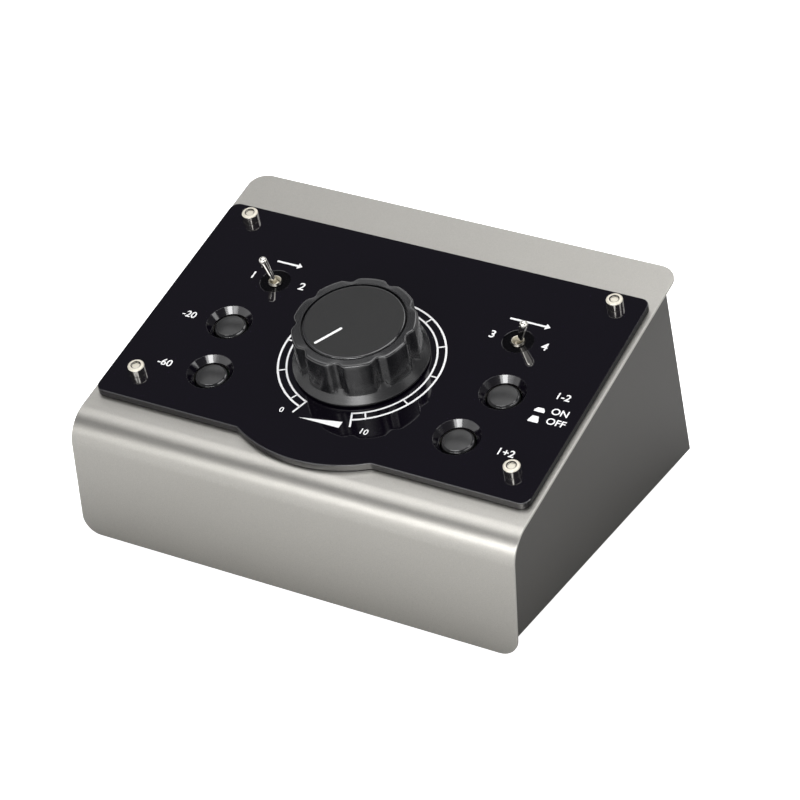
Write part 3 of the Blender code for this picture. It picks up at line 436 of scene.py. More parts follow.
def hairline_effect():
    """Fine rings or lines left by a cutting tool, round the piece's own height."""
    group, given, result = new_effect(
        "Hairlines",
        [("Scale", "Float", 2500.0), ("Color", "Color", (0.8, 0.8, 0.8, 1.0)),
         ("Amount", "Float", 0.1)],
        [("Color", "Color"), ("Height", "Float")],
    )
    place = add(group, "ShaderNodeTexCoord").outputs["Object"]
    flat = add(group, "ShaderNodeVectorMath", {0: place, 1: HAIRLINE_STRETCH},
               operation="MULTIPLY")
    noise = add(group, "ShaderNodeTexNoise",
                {"Vector": flat.outputs[0], "Scale": given.outputs["Scale"], "Detail": 2.0})
    colour, _ = brightened(group, given.outputs["Color"], noise.outputs["Fac"],
                           given.outputs["Amount"])
    group.links.new(colour, result.inputs["Color"])
    group.links.new(noise.outputs["Fac"], result.inputs["Height"])
    return group


GRAIN = grain_effect()
MOTTLE = mottle_effect()
HAIRLINES = hairline_effect()
print("effects:", GRAIN.name, MOTTLE.name, HAIRLINES.name)

# %% [markdown]
# ## The materials of the piece
# Each finish is one call: its colour, its roughness and how strong each effect is. The silver
# paint has metal flakes, so it is a rough metal with a grain. The acrylic is polished and nearly
# black, so all that shows in it is mirrored. Its sawn sides and milled dishes are duller.

# %% A finish from the shared effects
BUMP_DEPTH = 0.1 * MM
COAT_ROUGHNESS = 0.1


def new_finish(name, colour, roughness, metallic=0.0, grain=3000.0, bump=0.05,
               mottle=(40.0, 0.1), flakes=0.0, coat=0.0, specular=0.5, hairlines=0.0):
    """Material whose grain is per metre, and whose mottle is (scale per metre, amount)."""
    finish = bpy.data.materials.new(name)
    finish.use_nodes = True
    tree = finish.node_tree
    shader = tree.nodes["Principled BSDF"]
    shader.inputs["Metallic"].default_value = metallic
    shader.inputs["Specular IOR Level"].default_value = specular
    shader.inputs["Coat Weight"].default_value = coat
    shader.inputs["Coat Roughness"].default_value = COAT_ROUGHNESS
    tone = effect(tree, MOTTLE, {"Color": (*colour, 1.0), "Scale": mottle[0],
                                 "Amount": mottle[1], "Roughness": roughness})
    surface = effect(tree, GRAIN, {"Scale": grain})
    shown = tone.outputs["Color"]
    height = surface.outputs["Height"]
    if flakes:
        shown, _ = brightened(tree, shown, surface.outputs["Flake"], flakes)
    if hairlines:
        lines = effect(tree, HAIRLINES, {"Color": shown, "Amount": hairlines})
        shown = lines.outputs["Color"]
        height = lines.outputs["Height"]
    dents = add(tree, "ShaderNodeBump",
                {"Height": height, "Strength": bump, "Distance": BUMP_DEPTH})
    tree.links.new(shown, shader.inputs["Base Color"])
    tree.links.new(tone.outputs["Roughness"], shader.inputs["Roughness"])
    tree.links.new(dents.outputs[0], shader.inputs["Normal"])
    return finish


def effect(tree, group, values):
    return add(tree, "ShaderNodeGroup", values, node_tree=group)


silver_paint = new_finish("silver_paint", (0.48, 0.468, 0.437), 0.385, metallic=1.0,
                          grain=2800.0, bump=0.22, flakes=0.35, mottle=(18.0, 0.04))
tray_paint = new_finish("tray_paint", (0.042, 0.0395, 0.034), 0.42, metallic=0.35,
                        grain=3600.0, bump=0.25, flakes=0.2, mottle=(22.0, 0.08))
black_acrylic = new_finish("black_acrylic", (0.0018, 0.0010, 0.0034), 0.03, grain=300.0,
                           bump=0.004, mottle=(30.0, 0.05), specular=1.0)
milled_wall = new_finish("milled_wall", (0.0018, 0.0010, 0.0034), 0.12, grain=900.0,
                         bump=0.004, specular=0.75)
sawn_edge = new_finish("sawn_edge", (0.003, 0.003, 0.0032), 0.50, grain=1500.0, specular=0.15)
white_ink = new_finish("white_ink", (0.86, 0.86, 0.86), 0.45, grain=9000.0, bump=0.1,
                       mottle=(900.0, 0.12))
knob_plastic = new_finish("knob_plastic", (0.007, 0.007, 0.008), 0.24, grain=900.0,
                          bump=0.012, specular=0.65, mottle=(120.0, 0.1))
cap_plastic = new_finish("cap_plastic", (0.013, 0.013, 0.013), 0.42, grain=5000.0,
                         bump=0.20, specular=0.3, mottle=(80.0, 0.08))
polished_edge = new_finish("polished_edge", (0.014, 0.014, 0.015), 0.13, grain=900.0,
                           bump=0.01, specular=0.9)
button_plastic = new_finish("button_plastic", (0.020, 0.020, 0.0204), 0.30, grain=4500.0,
                            bump=0.10, specular=0.4, mottle=(160.0, 0.1))
bright_plating = new_finish("bright_plating", (0.82, 0.80, 0.75), 0.10, metallic=1.0,
                            grain=1800.0, bump=0.03, mottle=(400.0, 0.15))
# Pale cream plating: the plating's warm tint with a painted highlight standing in for bright
# reflections.
tint_and_sheen_plating = new_finish("tint_and_sheen_plating", (0.72, 0.68, 0.58), 0.42, metallic=0.45,
                           grain=1800.0, mottle=(400.0, 0.15))
# Dark plating: painted shade for plated surfaces in hollows and holes.
shade_plating = new_finish("shade_plating", (0.10, 0.095, 0.085), 0.25, metallic=1.0, grain=1800.0)
plain_plating = new_finish("plain_plating", (0.62, 0.62, 0.60), 0.30, metallic=1.0,
                           grain=2200.0, bump=0.08, mottle=(300.0, 0.2), hairlines=0.25)
black_washer = new_finish("black_washer", (0.0006, 0.0005, 0.0010), 0.12, grain=1500.0,
                          bump=0.01, specular=0.3)
switch_plastic = new_finish("switch_plastic", (0.016, 0.016, 0.018), 0.50, grain=2600.0, bump=0.1)
plunger_plastic = new_finish("plunger_plastic", (0.70, 0.69, 0.64), 0.45, grain=2600.0, bump=0.08)
jack_plastic = new_finish("jack_plastic", (0.014, 0.014, 0.016), 0.38, grain=2600.0, bump=0.12)
plug_plastic = new_finish("plug_plastic", (0.05, 0.05, 0.055), 0.45, grain=2600.0, bump=0.1)
board_resist = new_finish("board_resist", (0.018, 0.105, 0.045), 0.35, grain=900.0,
                          bump=0.1, mottle=(140.0, 0.25), coat=0.3)
ribbon_vinyl = new_finish("ribbon_vinyl", (0.34, 0.34, 0.35), 0.50, grain=1500.0, bump=0.1)
foot_rubber = new_finish("foot_rubber", (0.018, 0.018, 0.018), 0.78, grain=1700.0,
                         bump=0.35, mottle=(200.0, 0.3))
print("finishes:", len(bpy.data.materials))

# %% [markdown]
# ## The camera
# The photograph is taken from the front right with a long lens. The camera's place and turn were
# worked out from the straight edges and circles of the case and panel, so they are set as numbers.

# %% Camera
CAMERA_PLACE = Vector((509.1, -954.7, 640.3)) * MM
CAMERA_TURN = (math.radians(61.318), math.radians(-0.307), math.radians(28.122))
CAMERA_LENS = 133.56
FILM_WIDTH = 36.0
SIGHT = 20.0    # metres
camera_data = bpy.data.cameras.new("camera")
camera_data.lens = CAMERA_LENS
camera_data.sensor_width = FILM_WIDTH
camera_data.clip_end = SIGHT
camera = bpy.data.objects.new("camera", camera_data)
camera.location = CAMERA_PLACE
camera.rotation_euler = CAMERA_TURN
bpy.context.scene.collection.objects.link(camera)
bpy.context.scene.camera = camera
print("camera to the origin, mm:", round(CAMERA_PLACE.length / MM))

# %% [markdown]
# ## The folded cover
# A flat blank with round corners is creased at many stations round the bend and then folded, which
# keeps its thickness even. Its sheared edges are broken by a hair, so that they draw a bright
# line. The holes are punched last, because a bevel would chew their rims.

# %% Cover
SHEET = 1.5 * MM
SLOPE_LENGTH = 160.0 * MM
FRONT_LENGTH = 55.2 * MM
KNOB_TO_BEND = 68.8 * MM
BEND_RADIUS = 13.0 * MM
BEND_TURN = math.radians(79.1)
FREE_CORNER = 8.0 * MM
EDGE_BREAK = 0.35 * MM
CORNER_STEPS = 14
BEND_STATIONS = 28
BUTTONS = ("dim", "mute", "side", "mono")
TOGGLES = ("input", "monitor")
SCREWS = range(1, 5)
POT_HOLE = 3.8 * MM     # radii of the holes
TOGGLE_HOLE = 6.5 * MM
SCREW_HOLE = 2.3 * MM
BUTTON_GAP = 0.8 * MM
PUNCH_POINTS = 64
BEND_TANGENT = BEND_RADIUS * math.tan(BEND_TURN / 2)
BEND_START = BEND_TANGENT - KNOB_TO_BEND
BEND_END = BEND_START - BEND_RADIUS * BEND_TURN


def folded(point):
    """Place of a blank's point after the fold, in the deck's frame."""
    past = BEND_START - point.y
    if past <= 0:
        return point.copy()
    turn = min(past / BEND_RADIUS, BEND_TURN)
    centre = Vector((point.x, BEND_START, -BEND_RADIUS))
    out = Vector((0, -math.sin(turn), math.cos(turn)))
    along = Vector((0, -math.cos(turn), -math.sin(turn)))
    return centre + out * (BEND_RADIUS + point.z) + along * (past - turn * BEND_RADIUS)


def cover_mesh():
    half = extent("cover", DECK)[1].x
    rear = SLOPE_LENGTH - KNOB_TO_BEND
    front = BEND_END - (FRONT_LENGTH - BEND_TANGENT)
    corners = [(-half, front), (half, front), (half, rear), (-half, rear)]
    outline = rounded([(x, y, FREE_CORNER) for x, y in corners], CORNER_STEPS, closed=True)
    bm = bmesh.new()
    lower = loop(bm, outline, -SHEET)
    upper = loop(bm, outline, 0.0)
    bridge(bm, lower, upper)
    bm.faces.new(lower)
    bm.faces.new(upper)
    for station in range(BEND_STATIONS + 1):
        place = (0, BEND_START + (BEND_END - BEND_START) * station / BEND_STATIONS, 0)
        everything = bm.verts[:] + bm.edges[:] + bm.faces[:]
        bmesh.ops.bisect_plane(bm, geom=everything, plane_co=place, plane_no=(0, 1, 0))
    mesh = softened(as_mesh(bm), EDGE_BREAK, 2)
    for vert in mesh.vertices:
        vert.co = folded(vert.co)
    return cut(mesh, [punch(*hole) for hole in cover_holes()])


def cover_holes():
    holes = [((0, 0), POT_HOLE)]
    holes += [(spot(f"button_{name}"), radius_of(f"button_{name}") + BUTTON_GAP)
              for name in BUTTONS]
    holes += [(spot(f"toggle_bushing_{name}"), TOGGLE_HOLE) for name in TOGGLES]
    return holes + [(spot(f"panel_screw_{number}"), SCREW_HOLE) for number in SCREWS]


def punch(place, radius):
    mesh = turned([(radius, -3 * SHEET), (radius, SHEET)], PUNCH_POINTS)
    mesh.transform(Matrix.Translation((*place, 0)))
    return mesh


cover = piece("cover_sheet", cover_mesh(), silver_paint, "housing", DECK, ("cover",))
print("cover faces:", len(cover.data.polygons))

# %% [markdown]
# ## The glossy panel
# A plate of black acrylic, 3 mm thick. Its front edge follows an arc round the knob. Each button
# sits in a dish that a fingertip can reach into. A countersink mills it, so its wall is a straight
# cone, a little duller than the face, and its section is turned. The big flat face is cut into
# thin triangles between the holes, and it gets one normal all over, so that none of them shows.

# %% Panel outline and dishes
PANEL_FRONT = 50.8 * MM
PANEL_CORNER = 4.0 * MM
BULGE_FILLET = 2.5 * MM
PANEL_BREAK = 0.35 * MM
DISH_RADIUS = 9.7 * MM
DISH_DEPTH = 2.7 * MM
THROAT_ROUND = 0.5 * MM
DISH_LIP = 0.12 * MM
NUT_HOLE = 8.0 * MM
SIDE_BAND = 90 * MM     # the sawn sides lie further out than this
SIDE_FACING = 0.8       # and face sideways by more than this
LEVEL_FACING = 0.98     # faces that look up by more than this are level
NEAR_FACE = 0.002 * MM
BULGE_STEPS = 72
ROUND = 96


def panel_outline(inset):
    low, high = extent("face_panel", DECK)
    half = high.x - inset
    front = inset - PANEL_FRONT
    rear = high.y - inset
    bulge = -low.y - inset
    corner = PANEL_CORNER - inset
    fillet = BULGE_FILLET + inset
    fillet_y = front - fillet
    fillet_x = math.sqrt((bulge + fillet) ** 2 - fillet_y ** 2)
    lean = math.degrees(math.atan2(fillet_x, -fillet_y))
    points = arc((corner - half, front + corner), corner, 180, 270, 8)
    points += arc((-fillet_x, fillet_y), fillet, 90, 90 - lean, 6)
    points += arc((0, 0), bulge, 270 - lean, 270 + lean, BULGE_STEPS)[1:-1]
    points += arc((fillet_x, fillet_y), fillet, 90 + lean, 90, 6)
    points += arc((half - corner, front + corner), corner, 270, 360, 8)
    points += arc((half - corner, rear - corner), corner, 0, 90, 8)
    points += arc((corner - half, rear - corner), corner, 90, 180, 8)
    return points


def dish_profile(throat):
    """Radius and height from the underside's throat up to the panel's face."""
    floor = Vector((throat, FACE - DISH_DEPTH))
    top = Vector((DISH_RADIUS, FACE))
    corners = [(throat, COVER_TOP, 0), (*floor, THROAT_ROUND)]
    corners += [(*top, DISH_LIP), (DISH_RADIUS + DISH_LIP, FACE, 0)]
    return rounded(corners, 6)


def panel_mesh():
    bm = bmesh.new()
    breaks = [(0.0, COVER_TOP), (0.0, FACE - PANEL_BREAK)]
    breaks += [(PANEL_BREAK * (1 - math.cos(t)), FACE - PANEL_BREAK * (1 - math.sin(t)))
               for t in (math.pi / 6, math.pi / 3, math.pi / 2)]
    rings = [loop(bm, panel_outline(inset), level) for inset, level in breaks]
    for lower, upper in zip(rings, rings[1:]):
        bridge(bm, lower, upper)
    under = [rings[0]]
    over = [rings[-1]]
    for centre, profile in panel_holes():
        hole = [loop(bm, circle(radius, ROUND, centre), level) for radius, level in profile]
        for lower, upper in zip(hole, hole[1:]):
            bridge(bm, lower, upper)
        under.append(hole[0])
        over.append(hole[-1])
    for loops in (under, over):
        edges = []
        for ring in loops:
            edges += [bm.edges.get(pair) for pair in zip(ring, ring[1:] + ring[:1])]
        bmesh.ops.triangle_fill(bm, edges=edges, use_beauty=True)
    return as_mesh(bm)


def panel_holes():
    holes = [((0, 0), straight_hole(NUT_HOLE))]
    for name in BUTTONS:
        throat = radius_of(f"button_{name}") + BUTTON_GAP
        holes.append((spot(f"button_{name}"), dish_profile(throat)))
    holes += [(spot(f"toggle_bushing_{name}"), straight_hole(TOGGLE_HOLE)) for name in TOGGLES]
    return holes + [(spot(f"panel_screw_{number}"), straight_hole(SCREW_HOLE)) for number in SCREWS]


def straight_hole(radius):
    half_break = PANEL_BREAK / 2
    return [(radius, COVER_TOP), (radius, FACE - half_break),
            (radius + half_break / 3, FACE - half_break / 3), (radius + half_break, FACE)]


def flatten(item, level):
    """Gives the flat faces above a level exactly the deck's normal."""
    mesh = item.data
    back = DECK.inverted()
    normals = [corner.vector.copy() for corner in mesh.corner_normals]
    for face in mesh.polygons:
        if all((back @ mesh.vertices[index].co).z > level for index in face.vertices):
            for corner in face.loop_indices:
                normals[corner] = DECK_UP
    mesh.normals_split_custom_set(normals)


def on_side(at, normal):
    return abs(normal.x) > SIDE_FACING and abs(at.x) > SIDE_BAND


def in_dish(at, normal):
    near = any((at.xy - centre).length < DISH_RADIUS for centre in dish_middles)
    return near and normal.z < LEVEL_FACING


dish_middles = [Vector(spot(f"button_{name}")) for name in BUTTONS]
panel = piece("acrylic_panel", panel_mesh(), black_acrylic, "housing", DECK, ("face_panel",))
flatten(panel, FACE - NEAR_FACE)
face_finish(panel, sawn_edge, on_side)
face_finish(panel, milled_wall, in_dish)
print("panel faces:", len(panel.data.polygons))

# %% [markdown]
# ## The printed scale
# White ink is screen printed on the panel: two rings round the knob, joined by a tick every 30
# degrees, and end bars. The ticks repeat, so a node tree places them round the ring. The words of
# the real panel are left out: plain numbers and simple signs take their places.

# %% Rings, ticks and end bars
INK = 0.03 * MM
RING_OUTER = (33.93 * MM, 34.77 * MM)
RING_INNER = (30.43 * MM, 31.23 * MM)
RING_START = 250.7
RING_END = -69.8
BAR_END = 38.3 * MM
LINE = 0.8 * MM
TICKS = 11
TICK_STEP = 30.0
TICK_FIRST = 240.0
TICK_WIDTH = LINE * 0.8
RING_STEPS = 160


def ring_band(inner, outer):
    outline = arc((0, 0), outer, RING_START, RING_END, RING_STEPS)
    outline += arc((0, 0), inner, RING_END, RING_START, RING_STEPS)
    return plate(outline, FACE, FACE + INK)


def bar(length, width, centre_radius, angle):
    mesh = plate(oblong(length, width), FACE, FACE + INK)
    turn = Matrix.Rotation(math.radians(angle), 4, "Z")
    mesh.transform(turn @ Matrix.Translation((centre_radius, 0, 0)))
    return mesh


def tick_tree():
    """Copies of the input mesh, turned about Z in equal steps."""
    tree, given, result = new_tree(
        "Ticks", {"Count": "Int", "First": "Float", "Step": "Float", "Finish": "Material"})
    points = add(tree, "GeometryNodeMeshLine",
                 {"Count": given.outputs["Count"], "Offset": (0, 0, 0)})
    calc = math_in(tree)
    number = add(tree, "GeometryNodeInputIndex").outputs[0]
    passed = calc("MULTIPLY", number, given.outputs["Step"])
    angle = calc("SUBTRACT", given.outputs["First"], passed)
    turn = add(tree, "ShaderNodeCombineXYZ", {"Z": calc("RADIANS", angle)})
    placed = add(tree, "GeometryNodeInstanceOnPoints", {
        "Points": points.outputs[0], "Instance": given.outputs[0], "Rotation": turn.outputs[0]})
    end_tree(tree, placed.outputs[0], given.outputs["Finish"], result)
    return tree


tick_length = RING_OUTER[0] - RING_INNER[1] + LINE / 2
tick = bar(tick_length, TICK_WIDTH, (RING_OUTER[0] + RING_INNER[1]) / 2, 0)
ticks = grow(tick, tick_tree(), {
    "Count": TICKS, "First": TICK_FIRST, "Step": TICK_STEP, "Finish": white_ink})
bar_length = BAR_END - RING_INNER[0]
scale_parts = [ring_band(*RING_OUTER), ring_band(*RING_INNER), ticks]
for angle in (RING_START, RING_END):
    scale_parts.append(bar(bar_length, LINE, RING_INNER[0] + bar_length / 2, angle))
scale = piece("dial_scale", merged(scale_parts), white_ink, "housing", DECK, weighted=False)
print("scale faces:", len(scale.data.polygons))

# %% [markdown]
# ## The numbers and signs
# They are printed in the same white ink: a number for each setting, an arrow over each toggle, a
# growing wedge under the dial, and the side view of a button, pressed in and out, at ON and OFF.
# Text starts as a curve, and all of it becomes one thin mesh.

# %% Numbers and signs beside the controls
CAPITAL_SHARE = 0.70    # a capital's height, as a share of the letter's size
STROKE_GAIN = 0.02      # ink spreads by this share of the height


def printed(text, height, centre):
    """Text as a thin mesh, its capitals of the given height, centred on a place."""
    curve = bpy.data.curves.new("text", "FONT")
    curve.body = text
    curve.size = height / CAPITAL_SHARE
    curve.align_x = "CENTER"
    curve.align_y = "CENTER"
    curve.extrude = INK / 2
    curve.offset = STROKE_GAIN * height
    item = bpy.data.objects.new("text", curve)
    bpy.context.scene.collection.objects.link(item)
    mesh = baked(item)
    mesh.transform(Matrix.Translation((*centre, FACE + INK / 2)))
    return mesh


def sign(corners, centre):
    return plate([(centre[0] + x, centre[1] + y) for x, y in corners], FACE, FACE + INK)


def latch_sign(centre, pressed):
    """A button seen from the side: a low cap for pressed in, a tall one for out."""
    half = 2.2 * MM
    cap = 1.3 * MM
    base = 0.9 * MM
    height = 2.3 * MM if pressed else 3.4 * MM
    corners = [(-half, 0), (half, 0), (half, base), (cap, height), (-cap, height), (-half, base)]
    return sign(corners, (centre[0], centre[1] - height / 2))


def wedge_sign(centre, length, height):
    corners = [(-length / 2, 0), (length / 2, 0), (length / 2, height)]
    return sign(corners, (centre[0], centre[1] - height / 2))


def arrow_sign(centre, length, height):
    shaft = height * 0.14
    head = height * 0.62
    reach = length / 2
    corners = [(-reach, -shaft), (reach - head, -shaft), (reach - head, -height / 2), (reach, 0),
               (reach - head, height / 2), (reach - head, shaft), (-reach, shaft)]
    return sign(corners, centre)


TEXTS = [   # text, height and place, in mm
    ("0", 2.6, -17.6, -36.4), ("10", 2.8, 19.7, -36.5),
    ("-20", 3.4, -81.4, 0.0), ("-60", 3.5, -77.0, -28.2),
    ("1", 4.0, -67.1, 29.6), ("2", 4.0, -43.8, 29.6),
    ("3", 4.0, 44.6, 29.5), ("4", 4.0, 67.9, 29.5),
    ("1-2", 3.5, 86.8, 6.2), ("ON", 3.3, 89.3, -2.1), ("OFF", 3.3, 89.9, -7.5),
    ("1+2", 3.5, 78.1, -28.4),
]
SIGN_HEIGHT = 3.4 * MM
marks = [printed(text, height * MM, (x * MM, y * MM)) for text, height, x, y in TEXTS]
marks += [
    wedge_sign((0.2 * MM, -36.1 * MM), 18.0 * MM, SIGN_HEIGHT),
    arrow_sign((-55.3 * MM, 40.4 * MM), 12.0 * MM, SIGN_HEIGHT),
    arrow_sign((56.5 * MM, 40.3 * MM), 18.0 * MM, SIGN_HEIGHT),
    latch_sign((81.0 * MM, -2.9 * MM), True),
    latch_sign((80.8 * MM, -8.1 * MM), False),
]
piece("panel_marks", merged(marks), white_ink, "housing", DECK, weighted=False)
print("marks:", len(marks))

# %% [markdown]
# ## The fluted knob
# The volume knob is a moulding: a nearly straight side with nine flutes that run out into a flared
# skirt. It follows a rule, so it is turned first as a plain round body, and a node tree then
# pushes each point inwards by the depth of the flute at its angle, but never further than the
# skirt's cone. That is what draws the scalloped line where side and skirt meet.

# %% Knob body
KNOB_LIFT = 0.8 * MM
KNOB_HEIGHT = 19.9 * MM
KNOB_RADIUS = 25.9 * MM
KNOB_DRAFT = 0.3 * MM
FLUTES = 9
FLUTE_DEPTH = 1.8 * MM
FLUTE_HALF = math.radians(9.5)
SKIRT_RADIUS = 28.2 * MM
SKIRT_EDGE = 0.9 * MM
SKIRT_HEIGHT = 6.2 * MM
CROWN = 0.2 * MM
CAP_RADIUS = 21.0 * MM
CAP_GAP = 0.6 * MM
CAP_DEPTH = 2.5 * MM
KNOB_WALL = 2.2 * MM
KNOB_ROOF = 2.6 * MM
TOP_EDGE = 1.0 * MM
TOP_BAND = 0.8 * MM     # the polished edge reaches this far down
FINE_EDGE = 0.15 * MM
SKIRT_TOP_EDGE = 0.3 * MM
LOWER_EDGE = 0.2 * MM
HUB_RADIUS = 6.2 * MM
HUB_BORE = 3.2 * MM
HUB_LOW = 6.9 * MM   # the hub's lower face, above the cover
KNOB_POINTS = 540
SIDE_ROWS = 14
RING_ROWS = 6


def flute_tree():
    """Pushes the points of a round body in towards the axis along its flutes."""
    tree, given, result = new_tree("Flutes", {
        "Flutes": "Int", "Depth": "Float", "Half Angle": "Float", "Rim": "Float", "Side": "Float",
        "Skirt": "Float", "Skirt Edge": "Float", "Skirt Slope": "Float", "Finish": "Material"})
    calc = math_in(tree)
    position = add(tree, "GeometryNodeInputPosition").outputs[0]
    split = add(tree, "ShaderNodeSeparateXYZ", {0: position})
    x, y, z = split.outputs[0], split.outputs[1], split.outputs[2]
    radius = calc("SQRT", calc("ADD", calc("MULTIPLY", x, x), calc("MULTIPLY", y, y)))
    pitch = calc("DIVIDE", 2 * math.pi, given.outputs["Flutes"])
    half_pitch = calc("MULTIPLY", pitch, 0.5)
    low_end = calc("MULTIPLY", half_pitch, -1.0)
    off = calc("ABSOLUTE", calc("WRAP", calc("ARCTAN2", y, x), half_pitch, low_end))
    share = calc("MINIMUM", calc("DIVIDE", off, given.outputs["Half Angle"]), 1.0)
    curve = calc("MULTIPLY_ADD", calc("COSINE", calc("MULTIPLY", share, math.pi)), 0.5, 0.5)
    reach = calc("DIVIDE", calc("SUBTRACT", radius, given.outputs["Rim"]),
                 calc("SUBTRACT", given.outputs["Side"], given.outputs["Rim"]))
    fade = calc("MINIMUM", calc("MAXIMUM", reach, 0.0), 1.0)
    hollow = calc("MULTIPLY", calc("MULTIPLY", curve, given.outputs["Depth"]), fade)
    climb = calc("MAXIMUM", calc("SUBTRACT", z, given.outputs["Skirt Edge"]), 0.0)
    narrowed = calc("MULTIPLY", climb, given.outputs["Skirt Slope"])
    cone = calc("SUBTRACT", given.outputs["Skirt"], narrowed)
    moved = calc("MAXIMUM", calc("SUBTRACT", radius, hollow), calc("MINIMUM", radius, cone))
    ratio = calc("DIVIDE", moved, calc("MAXIMUM", radius, 1e-6))
    scaled = add(tree, "ShaderNodeCombineXYZ",
                 {"X": calc("MULTIPLY", x, ratio), "Y": calc("MULTIPLY", y, ratio), "Z": z})
    shaped = add(tree, "GeometryNodeSetPosition",
                 {"Geometry": given.outputs[0], "Position": scaled.outputs[0]})
    end_tree(tree, shaped.outputs[0], given.outputs["Finish"], result)
    return tree


def skirt_slope():
    return (SKIRT_RADIUS - KNOB_RADIUS + FLUTE_DEPTH) / (SKIRT_HEIGHT - SKIRT_EDGE)


def knob_profile():
    """Radius and height down the outside, then up into the hollow underside."""
    side_low = SKIRT_EDGE + (SKIRT_RADIUS - KNOB_RADIUS) / skirt_slope()
    crown = KNOB_HEIGHT + CROWN
    rim = CAP_RADIUS + CAP_GAP
    cavity = KNOB_RADIUS - FLUTE_DEPTH - KNOB_WALL
    roof = crown - CAP_DEPTH - KNOB_ROOF
    hub_low = HUB_LOW - FACE - KNOB_LIFT
    top = [(0.0, crown - CAP_DEPTH, 0), (rim, crown - CAP_DEPTH, 0), (rim, crown, FINE_EDGE),
           (KNOB_RADIUS - KNOB_DRAFT, KNOB_HEIGHT, TOP_EDGE)]
    side = [(KNOB_RADIUS, side_low, FINE_EDGE), (SKIRT_RADIUS, SKIRT_EDGE, SKIRT_TOP_EDGE),
            (SKIRT_RADIUS, 0.0, LOWER_EDGE)]
    inside = [(cavity, 0.0, SKIRT_TOP_EDGE), (cavity, roof, 0), (HUB_RADIUS, roof, 0),
              (HUB_RADIUS, hub_low, LOWER_EDGE), (HUB_BORE, hub_low, 0), (HUB_BORE, roof, 0),
              (0.0, roof, 0)]
    points = rounded(top + side + inside, 5)
    dense = [points[0]]
    for before, after in zip(points, points[1:]):
        inner = min(before.x, after.x)
        steep = abs(after.y - before.y) > MM and inner > KNOB_RADIUS - MM
        wide = abs(after.x - before.x) > MM and inner > rim
        rows = SIDE_ROWS if steep else RING_ROWS if wide else 1
        dense += [before.lerp(after, row / rows) for row in range(1, rows + 1)]
    return dense


def on_top_edge(at, normal):
    high = at.z > FACE + KNOB_LIFT + KNOB_HEIGHT - TOP_BAND
    outer = at.xy.length > KNOB_RADIUS - FLUTE_DEPTH - MM
    return high and outer and 0.05 < normal.z < 0.985


knob_place = DECK @ Matrix.Translation((0, 0, FACE + KNOB_LIFT))
round_knob = turned(knob_profile(), KNOB_POINTS)
knob_mesh = grow(round_knob, flute_tree(), {
    "Flutes": FLUTES, "Depth": FLUTE_DEPTH, "Half Angle": FLUTE_HALF, "Rim": CAP_RADIUS + CAP_GAP,
    "Side": KNOB_RADIUS - KNOB_DRAFT, "Skirt": SKIRT_RADIUS, "Skirt Edge": SKIRT_EDGE,
    "Skirt Slope": skirt_slope(), "Finish": knob_plastic})
knob = piece("fluted_knob", knob_mesh, knob_plastic, "volume_knob", knob_place, ("knob_body",),
             crease=28)
face_finish(knob, polished_edge, on_top_edge)
print("knob faces:", len(knob.data.polygons))

# %% [markdown]
# ## The knob's cap and pointer
# A thin disc is let into the top of the knob. A narrow dark gap and a tiny radius round its edge
# make the fine bright line at the front. The pointer is a groove filled with white paint, level
# with the disc.

# %% Cap and pointer
POINTER_START = 5.6 * MM
POINTER_END = 18.8 * MM
POINTER_WIDTH = 1.25 * MM
POINTER_ANGLE = 240.0
CAP_EDGE = 0.85 * MM
CAP_REST = 0.3 * MM     # the disc's underside, above the recess
CAP_TOP = KNOB_HEIGHT + CROWN
GROOVE_DEPTH = 0.4 * MM
PAINT_GAP = 0.02 * MM
PAINT_DROP = 0.03 * MM


def cap_profile():
    low = CAP_TOP - CAP_DEPTH + CAP_REST
    return rounded([(0.0, low, 0), (CAP_RADIUS, low, 0), (CAP_RADIUS, CAP_TOP, CAP_EDGE),
                    (0.0, CAP_TOP, 0)], 6)


def pointer_bar(width, length, low, high):
    outline = rounded([(x, y, width * 0.49) for x, y in oblong(length, width)], 8, closed=True)
    mesh = plate(outline, low, high)
    turn = Matrix.Rotation(math.radians(POINTER_ANGLE), 4, "Z")
    mesh.transform(turn @ Matrix.Translation(((POINTER_START + POINTER_END) / 2, 0, 0)))
    return mesh


pointer_length = POINTER_END - POINTER_START
groove = pointer_bar(POINTER_WIDTH, pointer_length, CAP_TOP - GROOVE_DEPTH, CAP_TOP + MM)
disc = piece("knob_disc", cut(turned(cap_profile(), 256), [groove]), cap_plastic, "volume_knob",
             knob_place, ("knob_cap",))
face_finish(disc, polished_edge, lambda at, normal: normal.z < 0.995)
fill = pointer_bar(POINTER_WIDTH - 2 * PAINT_GAP, pointer_length - 2 * PAINT_GAP,
                   CAP_TOP - GROOVE_DEPTH + PAINT_GAP, CAP_TOP - PAINT_DROP)
piece("pointer_paint", fill, white_ink, "volume_knob", knob_place, weighted=False)
print("disc faces:", len(disc.data.polygons))

# %% [markdown]
# ## Push buttons
# Each cap is a short plunger with a low dome and a soft, polished edge, which catches the light
# from the front as a thin pale line.

# %% Button caps
BUTTON_DOME = 0.9 * MM
BUTTON_LIFT = 0.25 * MM
BUTTON_EDGE = 1.0 * MM
BUTTON_FOOT_EDGE = 0.3 * MM
DOME_ROWS = 12


